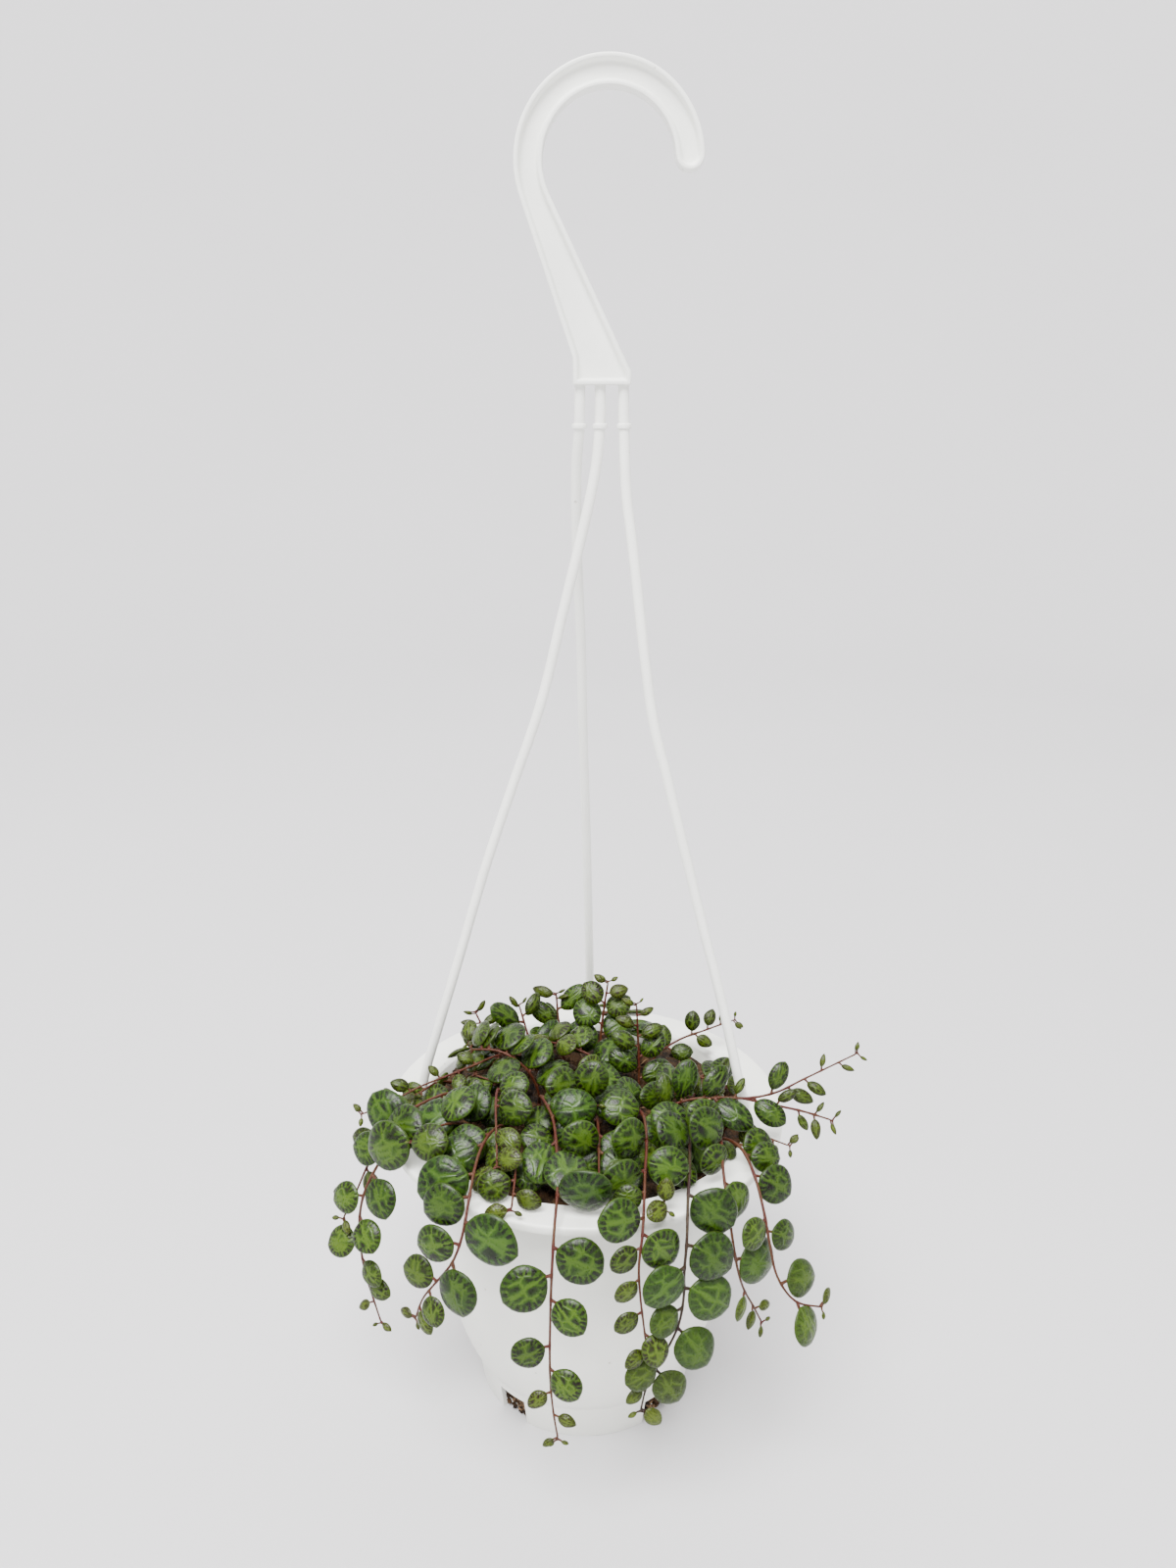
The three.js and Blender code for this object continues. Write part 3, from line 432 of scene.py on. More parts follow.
def curve_at(points, places):
    """Points on the smooth curve through the given points, at places from 0 to their last index."""
    points = np.asarray(points, float)
    before = 2 * points[0] - points[1]
    after = 2 * points[-1] - points[-2]
    line = np.vstack([before, points, after])
    places = np.asarray(places, float)
    i = np.clip(np.floor(places).astype(int), 0, len(points) - 2)
    t = (places - i)[:, None]
    a, b, c, d = line[i], line[i + 1], line[i + 2], line[i + 3]
    leave, arrive = 0.5 * (c - a), 0.5 * (d - b)
    square = -3 * b + 3 * c - 2 * leave - arrive
    cube = 2 * b - 2 * c + leave + arrive
    return b + leave * t + square * t**2 + cube * t**3


def lengths_along(points):
    steps = np.linalg.norm(np.diff(points, axis=0), axis=1)
    return np.concatenate([[0.0], np.cumsum(steps)])


def spaced(points, step):
    """Points at equal steps of length along the smooth curve through the given points."""
    count = len(points) * 12
    fine = curve_at(points, (len(points) - 1) * np.arange(count + 1) / count)
    lengths = lengths_along(fine)
    steps = max(2, math.floor(lengths[-1] / step + 0.5))
    return np.array([
        along_line(fine, lengths, lengths[-1] * i / steps)[0] for i in range(steps + 1)
    ])


def along_line(line, lengths, length):
    """The point and direction at a length along straight pieces, and the place in pieces."""
    i = 1
    while i < len(line) - 1 and lengths[i] < length:
        i += 1
    t = (length - lengths[i - 1]) / (lengths[i] - lengths[i - 1])
    return line[i - 1] + (line[i] - line[i - 1]) * t, unit(line[i] - line[i - 1]), i - 1 + t


def around_pot(angle, radius):
    return radius * math.cos(math.radians(angle)), radius * math.sin(math.radians(angle))


def wall_radius(height):
    """The wall's outside, a little rounded above the shoulder and then nearly straight."""
    t = (height - SHOULDER_TOP) / (RIM_TOP - RIM_THICK - SHOULDER_TOP)
    straight = SHOULDER_RADIUS + (WALL_TOP_RADIUS - SHOULDER_RADIUS) * t
    return straight + WALL_BULGE * math.sin(math.pi * t**BULGE_POWER) * (1 - t)


def soil_height(x, y):
    swell = math.sin(x / 6 + 1) * math.cos(y / 7)
    return SOIL_TOP + SOIL_SWELL * swell + SOIL_RIPPLE * math.sin((x + y) / 3.7)


def arm_routes():
    """Each arm's way from the plate down to the end of its upright post in the rim."""
    for angle, route in zip(SOCKET_ANGLES, ARM_ROUTES):
        x, y = around_pot(angle, SOCKET_RADIUS)
        yield angle, route + [(x, y, height) for height in POST_HEIGHTS]


def draws_from(seed):
    """The same draws every time, from 0 to 1."""
    state = seed
    while True:
        state = (state + 0x6D2B79F5) % 2**32
        mixed = (state ^ (state >> 15)) * (state | 1) % 2**32
        mixed ^= (mixed + (mixed ^ (mixed >> 7)) * (mixed | 61)) % 2**32
        yield (mixed ^ (mixed >> 14)) / 2**32


def hanging_share(point):
    """From 0 in the crown to 1 beside the pot."""
    return clamp((HANGING_FROM - point[2]) / HANGING_DEPTH, 0, 1)


def facing_at(point):
    """Leaves of the crown face up, outwards and to the light, and those beside the pot outwards."""
    radius = math.hypot(point[0], point[1])
    out = np.array([point[0], point[1], 0.0]) / max(radius, 1)
    crown = unit(UP + TO_LIGHT + out * CROWN_OUTWARDS * radius)
    beside = unit(out + UP * BESIDE_UPWARDS)
    return unit(crown + (beside - crown) * hanging_share(point))


class Blade:
    """One leaf: its foot on the stem, its base, its middle, its own directions and its sizes."""

    def __init__(self, vine, point, direction, size, attempt, draw):
        def around(spread):
            return (next(draw) * 2 - 1) * spread

        side = math.copysign(1, size)
        shrink = 1 if attempt < SMALLER_FROM else SMALLER if attempt < SMALLEST_FROM else SMALLEST
        self.length = abs(size) * shrink
        roundness = clamp((self.length - 3) / (ROUND_FROM - 3), 0, 1)
        self.width = self.length * (YOUNG_WIDTH + GROWN_WIDER * roundness)
        self.width *= vine.get("narrow", 1)
        self.thick = THINNEST + THICKENING * self.length
        loose = 0.5 + attempt / SMALLER_FROM
        roll = math.radians(around(LEAF_ROLL * loose)) * side
        lean = math.radians(LEAF_LEAN + around(LEAF_LEAN_SPREAD * loose))
        rise = STALK_RISE + STALK_RISE_SPREAD * next(draw)
        turned = "facing" in vine
        facing = unit(np.array(vine["facing"], float)) if turned else facing_at(point)
        tilt = np.array([around(LEAF_TILT * loose) for _ in range(3)])
        overlap = direction * (0 if turned else LEAF_OVERLAP * (1 - hanging_share(point)))
        self.normal = unit(facing + tilt + overlap)
        across = unit(np.cross(direction, facing)) * side
        across = across * math.cos(roll) + np.cross(direction, across) * math.sin(roll)
        stalk = unit(across + facing * rise + direction * STALK_FORWARD)
        self.foot = point
        self.base = point + stalk * (STALK_LENGTH + STALK_GROWTH * self.length)
        along = across * math.cos(lean) + direction * math.sin(lean)
        self.along = unit(along - self.normal * along.dot(self.normal))
        self.middle = self.base + self.along * self.length * BLADE_CENTRE
        self.wide = unit(np.cross(self.along, self.normal))
        self.samples = self.test_points()

    def test_points(self):
        """Points over the blade and half its thickness at each."""
        points, halves = [self.middle], [self.thick / 2]
        for ring, share in ((0.55, 0.45), (1, 0.25)):
            for i in range(LEAF_SIDES):
                angle = 2 * math.pi * i / LEAF_SIDES
                along = self.along * ring * math.cos(angle) * self.length / 2
                wide = self.wide * ring * math.sin(angle) * self.width / 2
                points.append(self.middle + along + wide)
                halves.append(self.thick * share)
        return np.array(points), np.array(halves)

    def space_to(self, points):
        """How far points are from the blade's surface, a little less than the true distance."""
        offset = points - self.middle
        reach = 2 * np.hypot(offset @ self.along / self.length, offset @ self.wide / self.width)
        height = np.abs(offset @ self.normal)
        over = height - self.thick / 2 * np.sqrt(np.maximum(1 - 0.75 * reach**2, 0))
        beyond = (reach - 1) * min(self.width, self.length) / 2
        beside = np.hypot(beyond, np.maximum(height - self.thick / 4, 0))
        return np.where(reach <= 1, over, beside)

    def fits(self, vine, blades, beads):
        points, halves = self.samples
        if not all(clear_of_pot(point, half) for point, half in zip(points, halves)):
            return False
        places, radii, owners = beads.arrays()
        near = (owners != vine) & (np.linalg.norm(places - self.middle, axis=1) <= self.length + 2)
        if (self.space_to(places[near]) < radii[near] + LEAF_CLEARANCE).any():
            return False
        for other in blades:
            if np.linalg.norm(other.middle - self.middle) > (other.length + self.length) / 2 + 3:
                continue
            room = OWN_STEM_ROOM if other.vine == vine else LEAF_CLEARANCE
            if (other.space_to(points) < halves + room).any():
                return False
            if (self.space_to(other.samples[0]) < other.samples[1] + room).any():
                return False
        return True


def clear_of_pot(point, radius):
    """Whether a ball is clear of the pot's rim and wall and of the soil."""
    away = math.hypot(point[0], point[1])
    room = radius + LEAF_CLEARANCE
    if point[2] > RIM_TOP + room:
        return True
    if point[2] < ABOVE_FLOOR + room:
        return False
    if away > RIM_RADIUS + room:
        return True
    if SHOULDER_TOP < point[2] < RIM_TOP - LIP_DROP - room and away > wall_radius(point[2]) + room:
        return True
    if away > WALL_TOP_RADIUS - WALL - room:
        return False
    return point[2] > soil_height(point[0], point[1]) + room + ABOVE_SOIL


class Beads:
    """Rods and stems as rows of balls, for leaves to stay clear of."""

    def __init__(self):
        self.points, self.radii, self.owners, self.kept = [], [], [], None

    def add(self, points, radius, owner):
        for point in points:
            self.points.append(point)
            self.radii.append(radius)
            self.owners.append(owner)
        self.kept = None

    def arrays(self):
        if self.kept is None:
            self.kept = np.array(self.points), np.array(self.radii), np.array(self.owners)
        return self.kept


def grow_plant():
    """The stems with their lines and leaves, each turned, moved or shrunk until it is clear."""
    vines = []
    for vine in VINES:
        x, y = vine["root"]
        route = [(x, y, height) for height in ROOT_HEIGHTS] + vine["route"]
        branches = [{"points": route, "leaves": vine["leaves"], "from": FIRST_LEAF}]
        if "fork" in vine:
            fork = vine["fork"]
            branches.append(
                {"points": fork["route"], "leaves": fork["leaves"], "from": FORK_FIRST_LEAF}
            )
        radius = vine.get("stem", STEM_RADIUS)
        vines.append({**vine, "radius": radius, "branches": branches, "blades": []})
    beads = Beads()
    for _, route in arm_routes():
        route = spaced(route, BEAD_STEP)
        beads.add(route[route[:, 2] < ARMS_AMONG_LEAVES], ARM_RADIUS, "hanger")
    for vine in vines:
        if "spike" in vine:
            beads.add(spaced(vine["spike"], BEAD_STEP), SPIKE_RADIUS, vine["name"])
        for branch in vine["branches"]:
            branch["line"] = spaced(branch["points"], STEM_STEP)
            branch["lengths"] = lengths_along(branch["line"])
            places = np.arange(0, branch["lengths"][-1], BEAD_STEP)
            points = [along_line(branch["line"], branch["lengths"], place)[0] for place in places]
            beads.add(points, vine["radius"], vine["name"])
    draw = draws_from(SEED)
    blades = []
    for vine in vines:
        for branch in vine["branches"]:
            set_leaves(vine, branch, blades, beads, draw)
    return vines


def set_leaves(vine, branch, blades, beads, draw):
    line, lengths, sizes = branch["line"], branch["lengths"], branch["leaves"]
    for i, size in enumerate(sizes):
        if size == 0:
            continue
        room = lengths[-1] - branch["from"] - LAST_LEAF_GAP
        place = branch["from"] + room * i / (len(sizes) - 1)
        for attempt in range(LEAF_TRIES):
            shift = 0 if attempt < SHIFT_FROM else (next(draw) * 2 - 1) * LEAF_SHIFT
            length = clamp(place + shift, branch["from"], lengths[-1] - 0.5)
            point, direction, step = along_line(line, lengths, length)
            turned = -size if attempt % 5 == 4 else size
            blade = Blade(vine, point, direction, turned, attempt, draw)
            if blade.fits(vine["name"], blades, beads):
                blade.vine, blade.step, blade.share = vine["name"], step, length / lengths[-1]
                blades.append(blade)
                vine["blades"].append((branch, blade))
                stalk = [blade.foot + (blade.base - blade.foot) * t for t in (0.35, 0.7, 1)]
                beads.add(stalk, STALK_BEAD_RADIUS, vine["name"])
                break


# Shapes


def new_mesh(shape, name):
    mesh = bpy.data.meshes.new(name)
    shape.to_mesh(mesh)
    shape.free()
    mesh.shade_smooth()
    return mesh


def new_object(name, data):
    thing = bpy.data.objects.new(name, data)
    bpy.context.scene.collection.objects.link(thing)
    return thing


class Form:
    """A unit shape that is placed many times, each time with its points moved."""

    def __init__(self, shape, name):
        self.mesh = new_mesh(shape, name)
        self.unit = np.empty((len(self.mesh.vertices), 3), np.float32)
        self.mesh.vertices.foreach_get("co", self.unit.ravel())
        self.unit = self.unit.astype(float)

    def add_to(self, shape, points, material=0, leaf=None):
        self.mesh.vertices.foreach_set("co", np.asarray(points, np.float32).ravel())
        count = len(self.mesh.polygons)
        self.mesh.polygons.foreach_set("material_index", np.full(count, material, np.int32))
        if leaf is not None:
            self.mesh.attributes["leaf"].data.foreach_set("color", leaf.astype(np.float32).ravel())
        shape.from_mesh(self.mesh)


def blade_form():
    """A unit ball with its poles on the leaf's two sides, and the layers that leaves need."""
    shape = bmesh.new()
    layer = shape.loops.layers.uv.new("blade")
    shape.verts.layers.float_color.new("leaf")
    bmesh.ops.create_uvsphere(shape, u_segments=24, v_segments=10, radius=1)
    for face in shape.faces:
        for loop in face.loops:
            place = loop.vert.co
            loop[layer].uv = (0.5 + 0.5 * place.x, 0.5 + 0.5 * place.y)
    return Form(shape, "blade_form")


def ball_form(subdivisions):
    shape = bmesh.new()
    bmesh.ops.create_icosphere(shape, subdivisions=subdivisions, radius=1)
    return Form(shape, "ball_form")


rod_forms = {}


def rod_form(sides, rings):
    """A unit rod along Z with its rings one apart, from 0 up."""
    if (sides, rings) not in rod_forms:
        shape = bmesh.new()
        bmesh.ops.create_cone(
            shape, cap_ends=True, segments=sides, radius1=1, radius2=1, depth=rings - 1,
            matrix=Matrix.Translation((0, 0, (rings - 1) / 2)),
        )
        rise = {edge: abs(edge.verts[0].co.z - edge.verts[1].co.z) for edge in shape.edges}
        upright = [edge for edge in rise if rise[edge] > 0.5]
        if rings > 2:
            bmesh.ops.subdivide_edges(shape, edges=upright, cuts=rings - 2)
        rod_forms[sides, rings] = Form(shape, "rod_form")
    return rod_forms[sides, rings]


def add_rod(shape, path, radii, sides, material=0):
    """A closed rod along a path, with its own radius at each point."""
    path = np.asarray(path, float)
    radii = np.broadcast_to(np.asarray(radii, float), len(path))
    form = rod_form(sides, len(path))
    forward = np.gradient(path, axis=0)
    forward /= np.linalg.norm(forward, axis=1)[:, None]
    first = np.cross(forward[0], UP if abs(forward[0][2]) < 0.9 else [1, 0, 0])
    normals = []
    for direction in forward:
        first = unit(first - direction * first.dot(direction))
        normals.append(first)
    normals = np.array(normals)
    seconds = np.cross(forward, normals)
    ring = np.rint(form.unit[:, 2]).astype(int)
    across = normals[ring] * form.unit[:, :1] + seconds[ring] * form.unit[:, 1:2]
    form.add_to(shape, path[ring] + across * radii[ring][:, None], material)


def add_block(shape, angle, reach, width, low, high):
    """A block between two distances from the Z axis, turned to an angle."""
    near, far = reach
    place = Matrix.Rotation(math.radians(angle), 4, "Z")
    place @= Matrix.Translation(((near + far) / 2, 0, (low + high) / 2))
    place @= Matrix.Diagonal((far - near, width, high - low, 1))
    return bmesh.ops.create_cube(shape, size=1, matrix=place)["verts"]


def add_post(shape, x, y, low, high, radius, sides):
    place = Matrix.Translation((x, y, (low + high) / 2))
    return bmesh.ops.create_cone(
        shape, cap_ends=True, segments=sides, radius1=radius, radius2=radius, depth=high - low,
        matrix=place,
    )["verts"]


def revolved(outline, steps):
    """A form turned round the Z axis from an outline of radius and height."""
    shape = bmesh.new()
    points = [shape.verts.new((radius, 0, height)) for radius, height in outline]
    edges = [shape.edges.new(pair) for pair in zip(points, points[1:])]
    bmesh.ops.spin(
        shape, geom=points + edges, cent=(0, 0, 0), axis=(0, 0, 1), angle=2 * math.pi,
        steps=steps, use_merge=True,
    )
    return shape


def spun(outline, steps):
    """A closed turned form, from an outline that starts and ends on the axis."""
    shape = revolved(outline, steps)
    bmesh.ops.remove_doubles(shape, verts=shape.verts, dist=1e-3)
    bmesh.ops.recalc_face_normals(shape, faces=shape.faces)
    return shape


def soften(shape, width, segments=2, edges=None):
    """Rounds the given edges, or every sharp one."""
    if edges is None:
        edges = [
            edge for edge in shape.edges
            if math.degrees(edge.calc_face_angle(0)) > ROUNDED_FROM
        ]
    bmesh.ops.bevel(
        shape, geom=edges, offset=width, offset_type="OFFSET", segments=segments, profile=0.5,
        affect="EDGES", clamp_overlap=True, material=-1,
    )


def cut(shape, cutters):
    """The shape less the cutters."""
    bodies = [new_object("cutting", new_mesh(body, "cutting")) for body in (shape, cutters)]
    modifier = bodies[0].modifiers.new("cut", "BOOLEAN")
    modifier.object = bodies[1]
    modifier.solver = "EXACT"
    result = bpy.data.meshes.new_from_object(
        bodies[0].evaluated_get(bpy.context.evaluated_depsgraph_get())
    )
    shape = bmesh.new()
    shape.from_mesh(result)
    for mesh in (result, bodies[0].data, bodies[1].data):
        bpy.data.meshes.remove(mesh)
    return shape


def make_piece(shape, name, node, materials, has_corners=False):
    """Turns a shape in millimetres into a piece that stands for a node of the frame."""
    bmesh.ops.scale(shape, vec=(MM, MM, MM), verts=shape.verts)
    mesh = new_mesh(shape, name)
    for material in materials:
        mesh.materials.append(material)
    if has_corners:
        mesh.set_sharp_from_angle(angle=math.radians(CRISP_FROM))
    piece = new_object(name, mesh)
    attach(piece, "root")
    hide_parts(node)
    return piece


# Pot, soil and hanger


def foot_radius(height):
    return FOOT_RADIUS + (FOOT_TOP_RADIUS - FOOT_RADIUS) * height / FOOT_TOP


def pot_outline():
    underside = RIM_TOP - RIM_THICK
    lip_inside = RIM_RADIUS - LIP_THICK
    heights = np.linspace(SHOULDER_TOP, underside - 2, 24)
    outside = [(wall_radius(height), height) for height in heights]
    inside = [(radius - WALL, height) for radius, height in reversed(outside)]
    return [
        (0, 0), (PLATE_REST_RADIUS, 0), (PLATE_REST_RADIUS + PLATE_STEP, PLATE_LIFT),
        (FOOT_RADIUS - WALL, PLATE_LIFT), (FOOT_RADIUS - WALL, 0), (FOOT_RADIUS, 0),
        (FOOT_TOP_RADIUS, FOOT_TOP), *outside, (WALL_TOP_RADIUS, underside),
        (lip_inside, underside), (lip_inside, RIM_TOP - LIP_DROP),
        (RIM_RADIUS, RIM_TOP - LIP_DROP),
        (RIM_RADIUS, RIM_TOP - RIM_ROUND), (RIM_RADIUS - RIM_ROUND, RIM_TOP),
        (RIM_INNER_RADIUS, RIM_TOP), (WALL_TOP_RADIUS - WALL, RIM_TOP - RIM_BEVEL), *inside,
        (FOOT_TOP_RADIUS - WALL, FOOT_TOP), (foot_radius(PLATE_TOP) - WALL, PLATE_TOP),
        (0, PLATE_TOP),
    ]


def pot_shape(settings):
    shape = spun(pot_outline(), POT_STEPS)
    soften(shape, settings.edge_rounding / MM)
    cutters = bmesh.new()
    width, top = settings.window_width / MM, PLATE_TOP + settings.window_height / MM
    for angle in WINDOW_ANGLES:
        add_block(cutters, angle, WINDOW_CUT, width, -1, top)
    for angle in SOCKET_ANGLES:
        x, y = around_pot(angle, SOCKET_RADIUS)
        u, v = around_pot(angle, DIMPLE_PLACE)
        add_post(cutters, x, y, SOCKET_BOTTOM, RIM_TOP + 1, SOCKET_BORE, 24)
        add_post(cutters, u, v, RIM_TOP - DIMPLE_DEPTH, RIM_TOP + 1, DIMPLE_RADIUS, 20)
    return cut(shape, cutters)


def add_lump(shape, form, place, size, draw, material=0):
    """A crumb of soil: a ball pushed in and out, and turned to lie any way."""
    turn = Matrix.Rotation(next(draw) * 6.3, 3, Vector((next(draw), next(draw), next(draw) + 0.1)))
    drift = Vector((next(draw), next(draw), next(draw))) * 50
    squash = Vector((1, 0.6 + 0.4 * next(draw), 0.5 + 0.3 * next(draw)))
    points = []
    for point in form.unit:
        point = Vector(point)
        reach = size * (1 + 0.5 * noise.noise(point * 1.3 + drift))
        points.append(turn @ (point * squash) * reach + Vector(place))
    form.add_to(shape, points, material)


def add_fibre(shape, place, length, draw, material):
    """A thin bent fibre lying on the soil."""
    angle = next(draw) * 2 * math.pi
    bend = (next(draw) - 0.5) * 0.5 * length
    points = []
    for t in np.linspace(-1, 1, 7):
        offset = np.array([t * length / 2, bend * (1 - t * t), 0.0])
        x = place[0] + offset[0] * math.cos(angle) - offset[1] * math.sin(angle)
        y = place[1] + offset[0] * math.sin(angle) + offset[1] * math.cos(angle)
        points.append([x, y, place[2] + 0.25 * math.sin(3 * t + angle)])
    add_rod(shape, points, [0.07, 0.14, 0.16, 0.17, 0.15, 0.12, 0.06], 5, material)


def soil_shape(settings):
    inset = WALL + SOIL_GAP
    heights = np.linspace(SHOULDER_TOP, SOIL_WALL_TOP, 14)
    edge = WALL_TOP_RADIUS - inset - SOIL_EDGE
    top = [(radius, SOIL_TOP) for radius in np.linspace(edge, 1, 40)]
    shape = spun([
        (0, PLATE_TOP + SOIL_GAP), (FOOT_RADIUS - inset, PLATE_TOP + SOIL_GAP),
        (FOOT_TOP_RADIUS - inset, FOOT_TOP),
        *[(wall_radius(height) - inset, height) for height in heights], *top, (0, SOIL_TOP),
    ], SOIL_STEPS)
    for vert in shape.verts:
        x, y, z = vert.co
        if z > SOIL_TOP - 0.1:
            inside = clamp((edge - math.hypot(x, y)) / 3, 0, 1)
            rough = noise.noise(Vector((x, y, 0)) / 2.6)
            rough += 0.5 * noise.noise(Vector((x, y, 9)) / 1.1)
            vert.co.z = soil_height(x, y) + SOIL_ROUGHNESS * inside * rough
    form = ball_form(2)
    draw = draws_from(LUMP_SEED)
    size = settings.lump_size / MM / 2
    for _ in range(settings.lump_count):
        angle, radius = next(draw) * 360, LUMP_REACH * math.sqrt(next(draw))
        x, y = around_pot(angle, radius)
        reach = size * (0.45 + 0.75 * next(draw) ** 2)
        add_lump(shape, form, (x, y, soil_height(x, y) + 0.1), reach, draw)
    for _ in range(settings.fibre_count):
        angle, radius = next(draw) * 360, FIBRE_REACH * math.sqrt(next(draw))
        x, y = around_pot(angle, radius)
        add_fibre(shape, (x, y, soil_height(x, y) + 1), 4 + 6 * next(draw), draw, 1)
    for middle in WINDOW_ANGLES:
        for i in range(WINDOW_CRUMBS):
            angle = middle + (next(draw) * 2 - 1) * WINDOW_HALF_ANGLE
            height = WINDOW_LOW + WINDOW_DEEP * next(draw)
            x, y = around_pot(angle, FOOT_RADIUS - inset + 0.1)
            reach = min(0.45 + 0.45 * next(draw), 0.6 * height)
            add_lump(shape, form, (x, y, height), reach, draw, i % 3 == 2)
    bpy.data.meshes.remove(form.mesh)
    return shape


def add_arc(shape, start, centre, sweep, steps):
    """An arc from a vertex, clockwise as seen from the front for a sweep above zero."""
    made = bmesh.ops.spin(
        shape, geom=[start], cent=(centre[0], 0, centre[1]), axis=(0, 1, 0), angle=sweep,
        steps=steps,
    )
    return next(item for item in made["geom_last"] if isinstance(item, bmesh.types.BMVert))


def tangent_angle(x, z, radius):
    """Where a straight edge from a corner touches the hook's circle."""
    away = math.hypot(x - HOOK_CENTRE[0], z - HOOK_CENTRE[1])
    turn = math.atan2(z - HOOK_CENTRE[1], x - HOOK_CENTRE[0]) - math.acos(radius / away)
    return turn + 2 * math.pi


def hook_plate(settings):
    """The hook and its plate: an outline, pulled to its thickness and sunk between its borders."""
    shape = bmesh.new()
    thick = settings.hook_thickness / MM
    cx, cz = HOOK_CENTRE
    tip = math.radians(HOOK_TIP_ANGLE)
    left = tangent_angle(PLATE_LEFT, SHANK_LEFT_CORNER, HOOK_OUTER)
    right = tangent_angle(PLATE_RIGHT, SHANK_RIGHT_CORNER, HOOK_INNER)
    middle = (HOOK_OUTER + HOOK_INNER) / 2
    tip_centre = (cx + middle * math.cos(tip), cz + middle * math.sin(tip))

    def corner(x, z):
        return shape.verts.new((x, -thick / 2, z))

    foot = corner(PLATE_LEFT, PLATE_BOTTOM)
    left_corner = corner(PLATE_LEFT, SHANK_LEFT_CORNER)
    start = corner(cx + HOOK_OUTER * math.cos(left), cz + HOOK_OUTER * math.sin(left))
    end = add_arc(shape, start, HOOK_CENTRE, left - tip, ARC_STEPS)
    end = add_arc(shape, end, tip_centre, math.pi, 14)
    end = add_arc(shape, end, HOOK_CENTRE, tip - right, ARC_STEPS)
    right_corner = corner(PLATE_RIGHT, SHANK_RIGHT_CORNER)
    right_foot = corner(PLATE_RIGHT, PLATE_BOTTOM)
    for pair in ((foot, left_corner), (left_corner, start), (end, right_corner),
                 (right_corner, right_foot), (right_foot, foot)):
        shape.edges.new(pair)
    bmesh.ops.contextual_create(shape, geom=shape.edges[:])
    front = shape.faces[:]
    made = bmesh.ops.extrude_face_region(shape, geom=front)["geom"]
    moved = [item for item in made if isinstance(item, bmesh.types.BMVert)]
    bmesh.ops.translate(shape, vec=(0, thick, 0), verts=moved)
    bmesh.ops.recalc_face_normals(shape, faces=shape.faces)
    for cap in [face for face in shape.faces if abs(face.normal.y) > 0.9]:
        border = settings.border_width / MM
        depth = (thick - settings.web_thickness / MM) / 2
        for thickness, sink in ((border - BORDER_SLOPE, 0), (BORDER_SLOPE, -depth)):
            bmesh.ops.inset_region(
                shape, faces=[cap], thickness=thickness, depth=sink, use_even_offset=True,
            )
    soften(shape, HOOK_ROUND, 3)
    return shape


def hanger_shape(settings):
    shape = hook_plate(settings)
    radius = settings.arm_diameter / MM / 2
    for angle, route in arm_routes():
        add_rod(shape, spaced(route, ARM_RING_STEP), radius, ARM_SIDES)
        x, y, _ = route[1]
        collar = [(x, y, COLLAR_Z + COLLAR_HEIGHT * t) for t in (-0.5, -0.35, 0, 0.35, 0.5)]
        swell = (COLLAR_RADIUS - radius) * np.array([0.2, 0.8, 1, 0.8, 0.2])
        add_rod(shape, collar, radius + swell, ARM_SIDES)
        high = RIM_TOP - RIM_THICK - SOIL_GAP
        reach = (SOCKET_RADIUS, SOCKET_RADIUS + CATCH_REACH)
        block = add_block(shape, angle, reach, CATCH_WIDTH, high - CATCH_HEIGHT, high)
        edges = {edge for vert in block for edge in vert.link_edges}
        soften(shape, CATCH_ROUND, edges=list(edges))
    return shape


# Stems and leaves


def add_stem(shape, vine, branch, thickness):
    """A round stem on the smooth line, thinner to its tip and swollen where each leaf joins."""
    line, lengths = branch["line"], branch["lengths"]
    count = max(6, int(lengths[-1] / STEM_RING_STEP))
    places = np.linspace(0, len(line) - 1, count)
    path = curve_at(line, places)
    share = places / (len(line) - 1)
    taper = 1.05 - 0.45 * np.clip((share - 0.35) / 0.65, 0, 1) ** 1.5
    radii = vine["radius"] * thickness * taper
    for owner, blade in vine["blades"]:
        if owner is branch:
            away = (places - blade.step) * STEM_STEP / 0.9
            radii = radii * (1 + JOINT_SWELL * np.exp(-(away**2)))
    radii[-1] *= TIP_THIN
    add_rod(shape, path, radii, STEM_SIDES, 1)


def blade_points(form, blade, puff, draw):
    """The blade's shape: nearly round when grown, longer when young, plump and a little bent."""
    x, y, z = form.unit.T
    reach, around = np.hypot(x, y), np.arctan2(y, x)
    pointed = clamp((9 - blade.length) / 6, 0, 1)
    phase = 6.3 * next(draw)
    wave = 1 + 0.016 * np.sin(3 * around + phase) + 0.01 * np.sin(5 * around - 2 * phase)
    tip = 0.05 * np.exp(-((around / 0.17) ** 2)) * reach**6
    base = 0.06 * np.exp(-(((math.pi - np.abs(around)) / 0.3) ** 2)) * reach**6
    along = (x * wave + tip - base) * blade.length / 2
    across = y * wave * (1 - 0.05 * x - 0.22 * pointed * np.maximum(x, 0)) * blade.width / 2
    dome = (0.03 + 0.03 * next(draw)) * blade.length
    bend = (next(draw) - 0.4) * 0.05 * blade.length
    height = z * blade.thick / 2 * puff + dome * (0.5 - reach**2)
    height = height - bend * (x * np.abs(x) - 0.3 * x)
    return (
        blade.middle + along[:, None] * blade.along - across[:, None] * blade.wide
        + height[:, None] * blade.normal
    )


